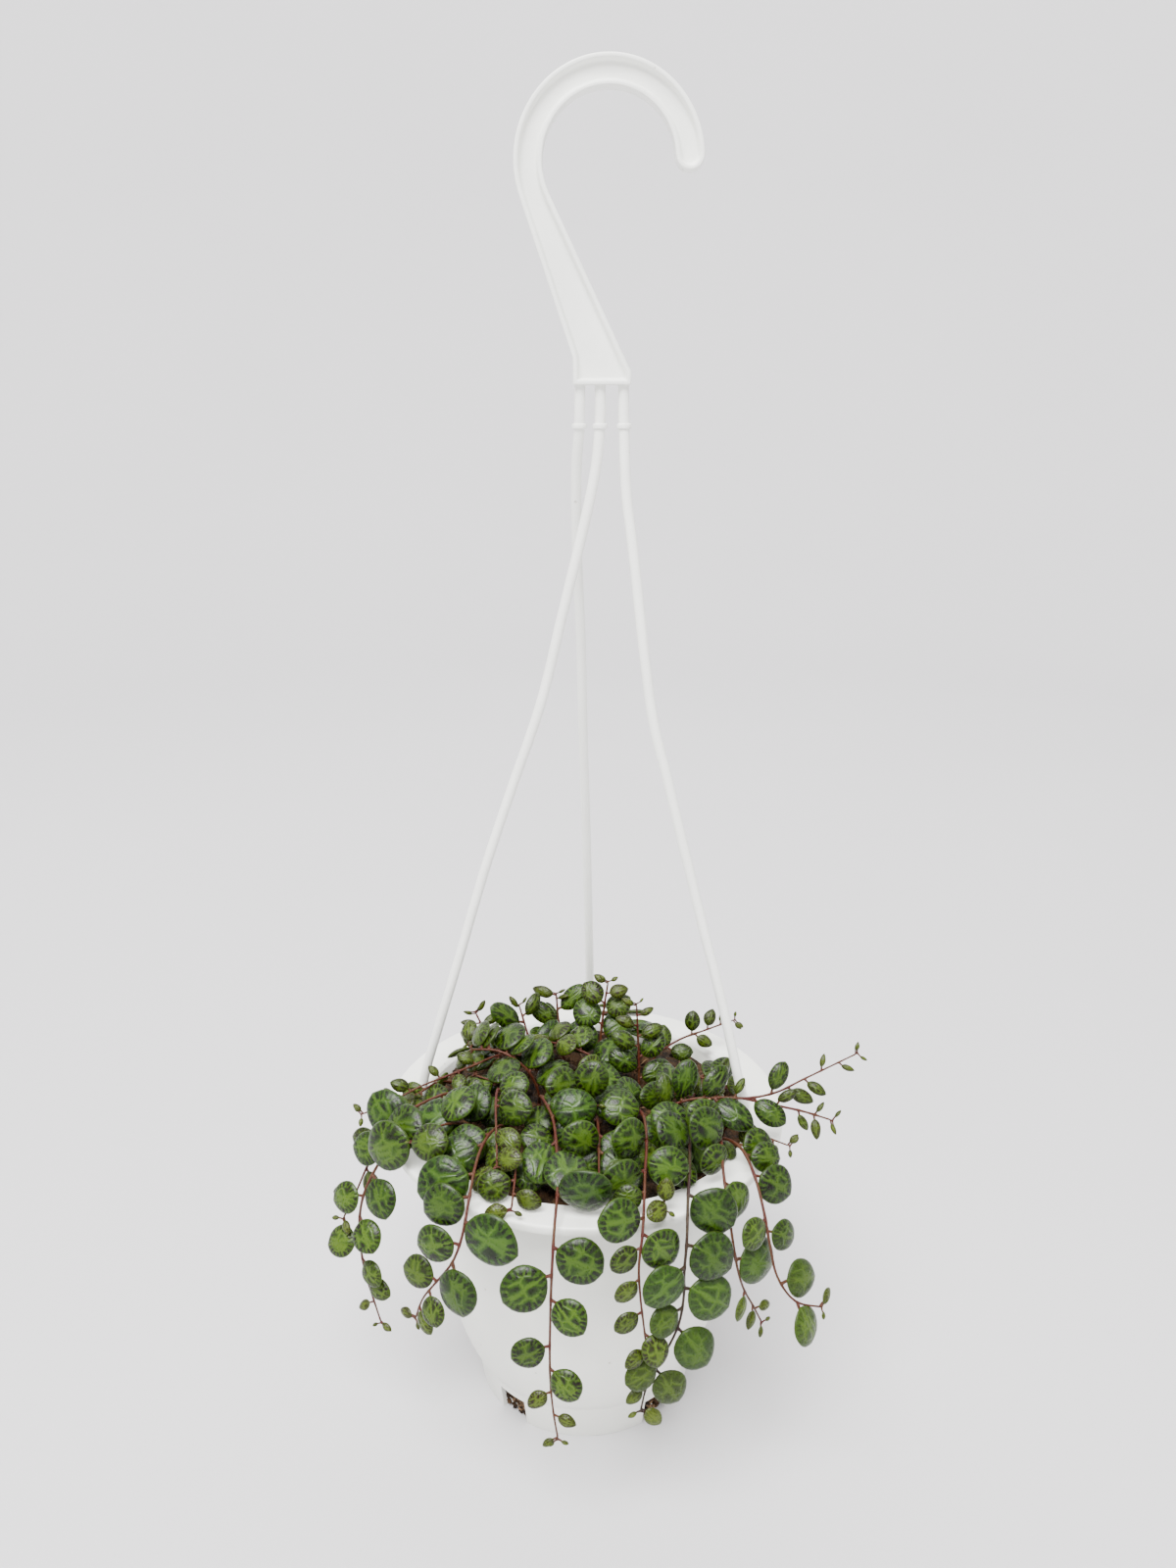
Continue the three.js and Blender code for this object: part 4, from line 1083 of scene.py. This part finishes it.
def leaf_values(form, blade, vine, draw):
    """Four values for the leaf's colour: upper side, age, plainness and its own number."""
    values = np.empty((len(form.unit), 4))
    values[:, 0] = 0.5 + 0.5 * np.sign(np.round(form.unit[:, 2], 4))
    tender = 0.25 * blade.share**3
    age = clamp((blade.length - 2) / (GROWN_LENGTH - 2), 0, 1) - tender + 0.2 * (next(draw) - 0.5)
    values[:, 1] = clamp(age, 0, 1)
    plain = vine.get("plain", 0) * clamp((blade.share - 0.4) * 3, 0, 1)
    values[:, 2] = clamp(plain + 0.2 * next(draw), 0, 1)
    values[:, 3] = next(draw)
    return values


def add_leaf(shape, form, vine, blade, foot, settings, draw):
    points = blade_points(form, blade, settings.leaf_puff, draw)
    form.add_to(shape, points, 0, leaf_values(form, blade, vine, draw))
    end = blade.base + blade.along * 0.06 * blade.length
    sag = blade.normal * 0.12 * np.linalg.norm(end - foot)
    path = [foot, foot + (end - foot) * 0.35 - sag * 0.8, foot + (end - foot) * 0.7 - sag, end]
    path = curve_at(path, np.linspace(0, 3, 7))
    thick = clamp(0.2 + 0.022 * blade.length, 0.22, 0.5)
    add_rod(shape, path, thick * np.array([1.3, 1.1, 1, 0.95, 0.95, 1, 0.9]), 6, 1)


def add_spike(shape, points):
    """A flower spike: a thin stalk set round with tiny beads."""
    path = curve_at(points, np.linspace(0, len(points) - 1, 28))
    radii = np.interp(np.arange(28), [0, 5, 7, 24, 27], [0.35, 0.35, 0.62, 0.6, 0.3])
    add_rod(shape, path, radii, 10, 2)
    form = ball_form(1)
    places = np.linspace(0.55, len(points) - 1.03, SPIKE_BEAD_ROWS)
    for row, place in enumerate(places):
        here, ahead = curve_at(points, [place, place + 0.02])
        forward = unit(ahead - here)
        side = unit(np.cross(forward, UP))
        other = np.cross(forward, side)
        for i in range(SPIKE_BEADS_ROUND):
            angle = 2 * math.pi * (i + 0.5 * (row % 2)) / SPIKE_BEADS_ROUND
            out = side * math.cos(angle) + other * math.sin(angle)
            bead = here + out * SPIKE_BEAD_PLACE + form.unit * SPIKE_BEAD_RADIUS
            form.add_to(shape, bead, 2)
    bpy.data.meshes.remove(form.mesh)


def vine_shape(vine, form, settings, draw):
    shape = bmesh.new()
    shape.loops.layers.uv.new("blade")
    shape.verts.layers.float_color.new("leaf")
    for branch in vine["branches"]:
        add_stem(shape, vine, branch, settings.stem_thickness)
        last, before = branch["line"][-1], branch["line"][-2]
        for side in (1, -1):
            size = side * (BUD_LENGTH + BUD_SPREAD * next(draw))
            bud = Blade(vine, last, unit(last - before), size, 0, draw)
            bud.share = 1
            add_leaf(shape, form, vine, bud, last, settings, draw)
    for branch, blade in vine["blades"]:
        foot = curve_at(branch["line"], [blade.step])[0]
        add_leaf(shape, form, vine, blade, foot, settings, draw)
    if "spike" in vine:
        add_spike(shape, vine["spike"])
    return shape


def bowl_shape(flat):
    """The floor, bent up all round into a backdrop."""
    bend = [
        (flat + FLOOR_BEND * math.sin(t), FLOOR_BEND - FLOOR_BEND * math.cos(t))
        for t in np.linspace(0, math.pi / 2, 20)
    ]
    outline = [(0.001, 0), (flat / 3, 0), *bend, (flat + FLOOR_BEND, BACKDROP_TOP)]
    shape = revolved(outline, FLOOR_STEPS)
    bmesh.ops.holes_fill(shape, edges=shape.edges, sides=FLOOR_STEPS)
    bmesh.ops.recalc_face_normals(shape, faces=shape.faces)
    return shape


# Materials


def colour(red, green, blue):
    """A colour by its display values from 0 to 255."""
    return tuple(
        part / 12.92 if part <= 0.04045 else ((part + 0.055) / 1.055) ** 2.4
        for part in (red / 255, green / 255, blue / 255)
    )


def put(tree, kind, *inputs, out=0, **settings):
    """A node with its settings, and its inputs joined or filled in order. Gives one output."""
    node = tree.nodes.new(kind)
    for name, value in settings.items():
        setattr(node, name, value)
    for i, value in enumerate(inputs):
        if isinstance(value, bpy.types.NodeSocket):
            tree.links.new(value, node.inputs[i])
        elif value is not None:
            node.inputs[i].default_value = value
    return node.outputs[out]


def calc(tree, operation, *inputs):
    return put(tree, "ShaderNodeMath", *inputs, operation=operation)


def times(tree, first, second):
    return calc(tree, "MULTIPLY", first, second)


def ramp(tree, value, low, high, start=0.0, end=1.0):
    """Moves a value smoothly from start to end as it goes from low to high."""
    return put(
        tree, "ShaderNodeMapRange", value, low, high, start, end, interpolation_type="SMOOTHSTEP",
    )


def mix(tree, factor, first, second, blend="MIX"):
    """Mixes two colours."""
    def full(value):
        return value if isinstance(value, bpy.types.NodeSocket) else (*value[:3], 1)

    inputs = [factor] + [None] * 5 + [full(first), full(second)]
    return put(tree, "ShaderNodeMix", *inputs, out=2, data_type="RGBA", blend_type=blend)


def noise_value(tree, vector, scale, detail=2.0, roughness=0.5):
    return put(tree, "ShaderNodeTexNoise", vector, None, scale, detail, roughness)


def object_place(tree):
    return put(tree, "ShaderNodeTexCoord", out=3)


def new_group(name, inputs, outputs):
    """A node group with the named inputs and outputs. Gives all three."""
    tree = bpy.data.node_groups.new(name, "ShaderNodeTree")
    for label, kind in inputs.items():
        tree.interface.new_socket(label, in_out="INPUT", socket_type="NodeSocket" + kind)
    for label in outputs:
        tree.interface.new_socket(label, in_out="OUTPUT", socket_type="NodeSocketFloat")
    given, result = tree.nodes.new("NodeGroupInput"), tree.nodes.new("NodeGroupOutput")
    return tree, given.outputs, result.inputs


def place_group(tree, name, *inputs):
    """Places a node group, which is built where it is first needed. Gives its outputs."""
    group = bpy.data.node_groups.get(name) or GROUPS[name](name)
    return put(tree, "ShaderNodeGroup", *inputs, node_tree=group).node.outputs


def bumped(tree, height, strength, distance):
    return put(tree, "ShaderNodeBump", strength, distance, None, height)


def mottling_group(name):
    """Broad and fine unevenness, for every surface of the part."""
    tree, given, result = new_group(
        name, {"Place": "Vector", "Broad Scale": "Float", "Fine Scale": "Float"},
        ("Broad", "Fine"),
    )
    broad = noise_value(tree, given[0], given[1], 3.0)
    fine = noise_value(tree, given[0], given[2], 4.0, 0.6)
    tree.links.new(ramp(tree, broad, 0.3, 0.7), result[0])
    tree.links.new(ramp(tree, fine, 0.3, 0.7), result[1])
    return tree


def speck_group(name):
    """Scattered specks, sparser the smaller the amount."""
    tree, given, result = new_group(
        name, {"Place": "Vector", "Scale": "Float", "Amount": "Float"}, ("Specks",),
    )
    cells = put(tree, "ShaderNodeTexVoronoi", given[0], None, given[1]).node.outputs
    chance = put(tree, "ShaderNodeSeparateColor", cells["Color"])
    chosen = calc(tree, "LESS_THAN", chance, given[2])
    spot = ramp(tree, cells["Distance"], 0.1, 0.24, 1.0, 0.0)
    tree.links.new(times(tree, chosen, spot), result[0])
    return tree


def markings_and_edge_shade_group(name):
    """A leaf's turtle-shell pattern of dark blotches between pale veins and dashes at the rim, and
    painted shade at its edge.
    """
    tree, given, result = new_group(
        name, {"Blade": "Vector", "Own Number": "Float"}, ("Blotch", "Vein", "Painted Edge Shade"),
    )

    def vector(operation, *inputs, out=0):
        return put(tree, "ShaderNodeVectorMath", *inputs, operation=operation, out=out)

    shift = times(tree, given[1], 37.0)
    own = put(tree, "ShaderNodeCombineXYZ", shift, shift, shift)
    centred = vector("MULTIPLY_ADD", given[0], (2, 2, 0), (-1, -1, 0))
    moved = vector("ADD", centred, own)
    waves = put(tree, "ShaderNodeTexNoise", moved, None, 1.7, 2.0, out=1)
    waves = vector("ADD", waves, (-0.5, -0.5, -0.5))
    bent = vector("MULTIPLY_ADD", waves, (0.3, 0.3, 0), centred)
    along, across = put(tree, "ShaderNodeSeparateXYZ", bent).node.outputs[:2]
    reach = vector("LENGTH", bent, out=1)
    true_reach = vector("LENGTH", centred, out=1)

    # Blotches lie in cells between lines that run from the base to the tip like meridians
    narrowing = calc(tree, "SUBTRACT", 1.05, times(tree, along, along))
    narrowing = calc(tree, "SQRT", calc(tree, "MAXIMUM", narrowing, 0.12))
    meridian = calc(tree, "DIVIDE", across, narrowing)
    lattice = put(
        tree, "ShaderNodeCombineXYZ", times(tree, meridian, 1.9), times(tree, along, 1.5), shift,
    )
    cells = put(tree, "ShaderNodeTexVoronoi", lattice, None, 1.0, feature="DISTANCE_TO_EDGE")
    cells.node.inputs["Randomness"].default_value = 0.75
    midrib = ramp(tree, calc(tree, "ABSOLUTE", meridian), 0.02, 0.16)
    centre = times(tree, ramp(tree, cells, 0.13, 0.32), ramp(tree, reach, 0.6, 0.7, 1.0, 0.0))
    centre = times(tree, centre, midrib)

    # Dashes point outwards near the rim
    turns = calc(tree, "ADD", times(tree, calc(tree, "ARCTAN2", across, along), 3.0), shift)
    stripe = calc(tree, "ABSOLUTE", calc(tree, "SUBTRACT", calc(tree, "FRACT", turns), 0.5))
    uneven = noise_value(tree, moved, 4.5, 1.0)
    width = ramp(tree, uneven, 0.35, 0.62, 0.12, 0.36)
    dash = ramp(tree, calc(tree, "SUBTRACT", stripe, width), -0.06, 0.08, 1.0, 0.0)
    inner = calc(tree, "ADD", reach, times(tree, uneven, 0.5))
    band = ramp(tree, inner, 0.84, 0.94)
    band = times(tree, band, ramp(tree, true_reach, 0.9, 0.96, 1.0, 0.0))
    tree.links.new(calc(tree, "MAXIMUM", centre, times(tree, dash, band)), result[0])

    veins = ramp(tree, cells, 0.0, 0.16, 1.0, 0.0)
    veins = times(tree, veins, ramp(tree, reach, 0.55, 0.85, 1.0, 0.25))
    rib = calc(tree, "SUBTRACT", 1.0, midrib)
    tree.links.new(calc(tree, "MAXIMUM", veins, rib), result[1])
    # Painted shade: a thin dark band on the outermost edge, where the domed blade turns away
    tree.links.new(ramp(tree, true_reach, 0.93, 0.985), result[2])
    return tree


GROUPS = {
    "mottling": mottling_group,
    "specks": speck_group,
    "turtle shell markings and edge shade": markings_and_edge_shade_group,
}


def new_material(name, roughness, scales, relief=None, specular=0.5):
    """A material with its tree, shader inputs, broad and fine unevenness, and fine relief."""
    material = bpy.data.materials.new(name)
    material.use_nodes = True
    tree = material.node_tree
    shader = tree.nodes["Principled BSDF"].inputs
    shader["Roughness"].default_value = roughness
    shader["Specular IOR Level"].default_value = specular
    uneven = place_group(tree, "mottling", object_place(tree), *scales)
    if relief:
        tree.links.new(bumped(tree, uneven["Fine"], *relief), shader["Normal"])
    return material, tree, shader, uneven["Broad"], uneven["Fine"]


def darker(tint, share):
    return tuple(share * part for part in tint)


def mottled_material(name, roughness, scales, relief, first, second):
    """A surface that goes unevenly from one colour to another."""
    material, tree, shader, broad, _ = new_material(name, roughness, scales, relief)
    tree.links.new(mix(tree, broad, first, second), shader["Base Color"])
    return material


def plastic_material(name, settings):
    """White moulded plastic with a fine grain, faint marks and a few specks of soil."""
    tint, roughness = settings.plastic_colour[:], settings.plastic_roughness
    material, tree, shader, broad, fine = new_material(name, roughness, (55, 900), (0.08, 0.0002))
    specks = place_group(tree, "specks", object_place(tree), 420.0, 0.035)
    base = mix(tree, broad, tint, darker(tint, 0.955))
    base = mix(tree, times(tree, specks[0], 0.5), base, colour(150, 140, 120))
    tree.links.new(base, shader["Base Color"])
    rough = ramp(tree, fine, 0.0, 1.0, roughness - 0.05, roughness + 0.07)
    tree.links.new(rough, shader["Roughness"])
    return material


def soil_material(settings):
    """Dark damp potting mix with lighter crumbs."""
    material, tree, shader, broad, fine = new_material(
        "damp_potting_mix", 0.85, (210, 1500), (0.9, 0.0006), 0.2,
    )
    specks = place_group(tree, "specks", object_place(tree), 700.0, 0.14)
    base = mix(tree, broad, settings.dark_colour, settings.light_colour)
    base = mix(tree, times(tree, fine, 0.5), base, settings.dark_colour)
    base = mix(tree, times(tree, specks[0], 0.55), base, settings.fibre_colour)
    tree.links.new(base, shader["Base Color"])
    tree.links.new(ramp(tree, broad, 0.0, 1.0, 0.6, 0.95), shader["Roughness"])
    return material


def stem_material(name, tint):
    """Red-brown stems, greener in places and finely darkened."""
    material, tree, shader, broad, fine = new_material(
        name, 0.45, (170, 1400), (0.5, 0.00025), 0.3,
    )
    greener = mix(tree, 0.3, tint, colour(78, 76, 30))
    base = mix(tree, broad, tint, greener)
    base = mix(tree, times(tree, fine, 0.6), base, darker(tint, 0.5))
    tree.links.new(base, shader["Base Color"])
    return material


def leaf_material(settings):
    """Thick glossy leaves, with the turtle-shell pattern and painted shade at the edge above, and
    plain pale green below.
    """
    material, tree, shader, broad, fine = new_material(
        "turtle_leaf", settings.leaf_roughness, (240, 1800), specular=0.22,
    )
    blade = put(tree, "ShaderNodeUVMap", uv_map="blade")
    values = put(tree, "ShaderNodeAttribute", attribute_name="leaf").node.outputs
    parts = put(tree, "ShaderNodeSeparateColor", values["Color"]).node.outputs
    side, age, plain = parts[:3]
    number = values["Alpha"]
    marks = place_group(tree, "turtle shell markings and edge shade", blade, number)

    def by_age(young, middle, grown):
        result = put(tree, "ShaderNodeValToRGB", age)
        stops = result.node.color_ramp.elements
        stops.new(0.5)
        for stop, place, tint in zip(stops, (0, 0.5, 1), (young, middle, grown)):
            stop.position, stop.color = place, (*tint, 1)
        return result

    ground = by_age(settings.young_colour, settings.middle_colour, settings.grown_colour)
    vein = by_age(settings.young_vein, settings.middle_vein, settings.grown_vein)
    blotch = by_age(settings.young_blotch, settings.middle_blotch, settings.grown_blotch)
    upper = mix(tree, times(tree, marks["Vein"], 0.65), ground, vein)
    strength = ramp(tree, plain, 0.0, 1.0, 1.0, 0.3)
    strength = times(tree, strength, ramp(tree, broad, 0.0, 1.0, 0.75, 1.0))
    upper = mix(tree, times(tree, marks["Blotch"], strength), upper, blotch)
    # Painted shade: the edge band darkens the upper side towards the blotch colour
    upper = mix(tree, times(tree, marks["Painted Edge Shade"], 0.3), upper, blotch)
    lower = mix(tree, broad, settings.underside_colour, darker(settings.underside_colour, 0.8))
    base = mix(tree, side, lower, upper)
    tone = calc(tree, "FRACT", times(tree, number, 7.31))
    tone = ramp(tree, tone, 0.0, 1.0, 0.82, 1.16)
    tone = put(tree, "ShaderNodeCombineColor", tone, tone, tone)
    tree.links.new(mix(tree, 1.0, base, tone, "MULTIPLY"), shader["Base Color"])
    glossy = settings.leaf_roughness
    rough = ramp(tree, fine, 0.0, 1.0, glossy - 0.04, glossy + 0.08)
    tree.links.new(rough, shader["Roughness"])
    relief = times(tree, fine, 0.25)
    relief = calc(tree, "SUBTRACT", relief, times(tree, marks["Vein"], side))
    tree.links.new(bumped(tree, relief, 0.35, 0.00025), shader["Normal"])
    return material


# Settings


def size_setting(name, description, value):
    return bpy.props.FloatProperty(
        name=name, description=description, default=value, min=0, unit="LENGTH",
        subtype="DISTANCE", precision=4,
    )


def colour_setting(name, description, value):
    return bpy.props.FloatVectorProperty(
        name=name, description=description, default=value, subtype="COLOR", min=0, max=1,
    )


def number_setting(name, description, value, high=10):
    return bpy.props.FloatProperty(
        name=name, description=description, default=value, min=0, max=high,
    )


def count_setting(name, description, value):
    return bpy.props.IntProperty(name=name, description=description, default=value, min=0)


class PotSettings(bpy.types.PropertyGroup):
    window_width: size_setting("Window Width", "Width of each drain window", 0.0098)
    window_height: size_setting("Window Height", "Height of each drain window", 0.006)
    edge_rounding: size_setting("Edge Rounding", "How far each moulded edge is rounded", 0.0003)
    plastic_colour: colour_setting("Plastic", "Colour of the pot", colour(246, 247, 239))
    plastic_roughness: number_setting("Roughness", "Roughness of the pot's plastic", 0.36, 1)


class SoilSettings(bpy.types.PropertyGroup):
    lump_count: count_setting("Lumps", "How many lumps lie on the soil", 320)
    lump_size: size_setting("Lump Size", "Length of the biggest lumps", 0.0052)
    fibre_count: count_setting("Fibres", "How many loose fibres lie on the soil", 60)
    dark_colour: colour_setting("Dark", "Colour of the damp soil", colour(22, 15, 10))
    light_colour: colour_setting("Light", "Colour of the drier soil", colour(104, 76, 50))
    fibre_colour: colour_setting("Fibre", "Colour of the loose fibres", colour(138, 108, 76))


class HangerSettings(bpy.types.PropertyGroup):
    arm_diameter: size_setting("Arm Diameter", "Thickness of each arm", 0.0028)
    hook_thickness: size_setting("Hook Thickness", "Thickness of the hook's borders", 0.005)
    web_thickness: size_setting("Web Thickness", "Thickness between the borders", 0.0018)
    border_width: size_setting("Border Width", "Width of the raised borders", 0.0015)
    plastic_colour: colour_setting("Plastic", "Colour of the hanger", colour(249, 250, 244))
    plastic_roughness: number_setting("Roughness", "Roughness of the hanger's plastic", 0.33, 1)


class PlantSettings(bpy.types.PropertyGroup):
    leaf_puff: number_setting("Leaf Puff", "How plump the leaves are", 1)
    stem_thickness: number_setting("Stem Thickness", "How thick the stems are", 0.5)
    leaf_roughness: number_setting("Leaf Roughness", "Roughness of the leaves", 0.3, 1)
    grown_colour: colour_setting("Grown Leaf", "Ground of the biggest leaves", colour(24, 49, 6))
    grown_vein: colour_setting("Grown Vein", "Veins of the biggest leaves", colour(52, 82, 23))
    grown_blotch: colour_setting("Grown Blotch", "Blotches of the biggest leaves", colour(7, 16, 4))
    middle_colour: colour_setting("Middle Leaf", "Ground of middle leaves", colour(38, 60, 6))
    middle_vein: colour_setting("Middle Vein", "Veins of middle leaves", colour(68, 91, 23))
    middle_blotch: colour_setting("Middle Blotch", "Blotches of middle leaves", colour(11, 7, 4))
    young_colour: colour_setting("Young Leaf", "Ground of young leaves", colour(53, 64, 10))
    young_vein: colour_setting("Young Vein", "Veins of young leaves", colour(77, 91, 24))
    young_blotch: colour_setting("Young Blotch", "Blotches of young leaves", colour(27, 12, 5))
    underside_colour: colour_setting("Underside", "Underside of the leaves", colour(63, 79, 22))
    stem_colour: colour_setting("Stem", "Colour of the stems", colour(74, 24, 16))
    dark_stem_colour: colour_setting("Dark Stem", "Colour of the dark stem", colour(38, 11, 9))


class StageSettings(bpy.types.PropertyGroup):
    floor_radius: size_setting("Floor Radius", "Flat part of the floor", 1.1)
    floor_colour: colour_setting("Floor", "Colour of the floor and backdrop", colour(211, 210, 211))
    sky_strength: number_setting("Sky", "Strength of the light from all around", 3.5, 20)
    lamp_power: number_setting("Lamp", "Power of the soft lamp overhead", 74, 500)
    backdrop_power: number_setting("Backdrop Lamp", "Power of the lamp on the backdrop", 40, 500)


# Operators


class TURTLES_OT_pot(bpy.types.Operator):
    """Builds the white pot with its rim, drain windows and sockets"""
    bl_idname = "turtles.build_pot"
    bl_label = "Build Pot"

    def execute(self, context):
        settings = context.scene.turtles_pot
        plastic = plastic_material("pot_plastic", settings)
        make_piece(pot_shape(settings), "pot_body", "pot", [plastic], True)
        return {"FINISHED"}


class TURTLES_OT_soil(bpy.types.Operator):
    """Fills the pot with potting mix"""
    bl_idname = "turtles.fill_soil"
    bl_label = "Fill Soil"

    def execute(self, context):
        settings = context.scene.turtles_soil
        tint = settings.fibre_colour[:]
        fibre = mottled_material(
            "coir_fibre", 0.8, (300, 2500), (0.4, 0.0002), tint, darker(tint, 0.35),
        )
        shape = soil_shape(settings)
        make_piece(shape, "potting_mix", "soil", [soil_material(settings), fibre])
        return {"FINISHED"}


class TURTLES_OT_hanger(bpy.types.Operator):
    """Builds the hanger with its hook, its three arms and their catches"""
    bl_idname = "turtles.build_hanger"
    bl_label = "Build Hanger"

    def execute(self, context):
        settings = context.scene.turtles_hanger
        plastic = plastic_material("hanger_plastic", settings)
        shape = hanger_shape(settings)
        make_piece(shape, "hanger_moulding", "hanger", [plastic], True)
        return {"FINISHED"}


class TURTLES_OT_plant(bpy.types.Operator):
    """Grows every leafy stem where the frame has it"""
    bl_idname = "turtles.grow_plant"
    bl_label = "Grow Plant"

    def execute(self, context):
        settings = context.scene.turtles_plant
        leaf = leaf_material(settings)
        red_stem = stem_material("red_stem", settings.stem_colour[:])
        dark_stem = stem_material("dark_stem", settings.dark_stem_colour[:])
        spike = mottled_material(
            "flower_spike", 0.6, (900, 3000), (0.5, 0.0002),
            colour(110, 62, 48), colour(196, 150, 116),
        )
        form = blade_form()
        draw = draws_from(SEED + 1)
        for vine in grow_plant():
            materials = [leaf, dark_stem if vine.get("dark") else red_stem]
            if "spike" in vine:
                materials.append(spike)
            shape = vine_shape(vine, form, settings, draw)
            make_piece(shape, "leafy_" + vine["name"], vine["name"], materials)
        for used in [form, *rod_forms.values()]:
            bpy.data.meshes.remove(used.mesh)
        rod_forms.clear()
        return {"FINISHED"}


class TURTLES_OT_stage(bpy.types.Operator):
    """Sets the pale floor, the soft light and the camera"""
    bl_idname = "turtles.set_stage"
    bl_label = "Set Stage"

    def execute(self, context):
        settings = context.scene.turtles_stage
        tint = settings.floor_colour[:]
        floor = new_object("studio_floor", new_mesh(bowl_shape(settings.floor_radius), "floor"))
        floor.data.materials.append(
            mottled_material("studio_floor", 0.9, (3, 400), None, tint, darker(tint, 0.98))
        )

        world = bpy.data.worlds.new("studio_sky")
        world.use_nodes = True
        sky = world.node_tree.nodes["Background"]
        sky.inputs["Color"].default_value = (0.97, 0.985, 1, 1)
        sky.inputs["Strength"].default_value = settings.sky_strength
        context.scene.world = world

        for name, power, size, place, target in (
            ("soft_lamp", settings.lamp_power, (1, 0.7), (-0.25, -0.75, 1.5), (0, 0, 0.1)),
            ("backdrop_lamp", settings.backdrop_power, (2.4, 0.6), (0, 0.5, 1.7), (0, 2, 0.5)),
        ):
            lamp = bpy.data.lights.new(name, "AREA")
            lamp.shape, lamp.energy = "RECTANGLE", power
            lamp.size, lamp.size_y = size
            aim = Vector(target) - Vector(place)
            placed = new_object(name, lamp)
            placed.location = place
            placed.rotation_euler = aim.to_track_quat("-Z", "Y").to_euler()

        camera = bpy.data.cameras.new("photo_camera")
        camera.sensor_width, camera.lens, camera.clip_start = 36, CAMERA_LENS, 0.01
        placed = new_object("photo_camera", camera)
        placed.location = CAMERA_PLACE
        placed.rotation_euler = (math.radians(CAMERA_TILT), 0, 0)
        context.scene.camera = placed
        return {"FINISHED"}


class TURTLES_PT_panel(bpy.types.Panel):
    """Settings and steps of the potted string of turtles"""
    bl_idname = "TURTLES_PT_panel"
    bl_label = "Potted String of Turtles"
    bl_space_type = "VIEW_3D"
    bl_region_type = "UI"
    bl_category = "Turtles"

    def draw(self, context):
        for (key, kind), operator in zip(SETTINGS.items(), OPERATORS):
            box = self.layout.box()
            group = getattr(context.scene, key)
            for name in kind.__annotations__:
                box.prop(group, name)
            box.operator(operator.bl_idname)


SETTINGS = {
    "turtles_pot": PotSettings,
    "turtles_soil": SoilSettings,
    "turtles_hanger": HangerSettings,
    "turtles_plant": PlantSettings,
    "turtles_stage": StageSettings,
}
OPERATORS = (TURTLES_OT_pot, TURTLES_OT_soil, TURTLES_OT_hanger, TURTLES_OT_plant, TURTLES_OT_stage)


def register():
    for kind in (*SETTINGS.values(), *OPERATORS, TURTLES_PT_panel):
        bpy.utils.register_class(kind)
    for key, kind in SETTINGS.items():
        setattr(bpy.types.Scene, key, bpy.props.PointerProperty(type=kind))


def unregister():
    for key in SETTINGS:
        delattr(bpy.types.Scene, key)
    for kind in (TURTLES_PT_panel, *reversed(OPERATORS), *reversed(SETTINGS.values())):
        bpy.utils.unregister_class(kind)


def main():
    register()
    bpy.ops.turtles.set_stage()
    bpy.ops.turtles.build_pot()
    bpy.ops.turtles.fill_soil()
    bpy.ops.turtles.build_hanger()
    bpy.ops.turtles.grow_plant()


if __name__ == "__main__":
    main()
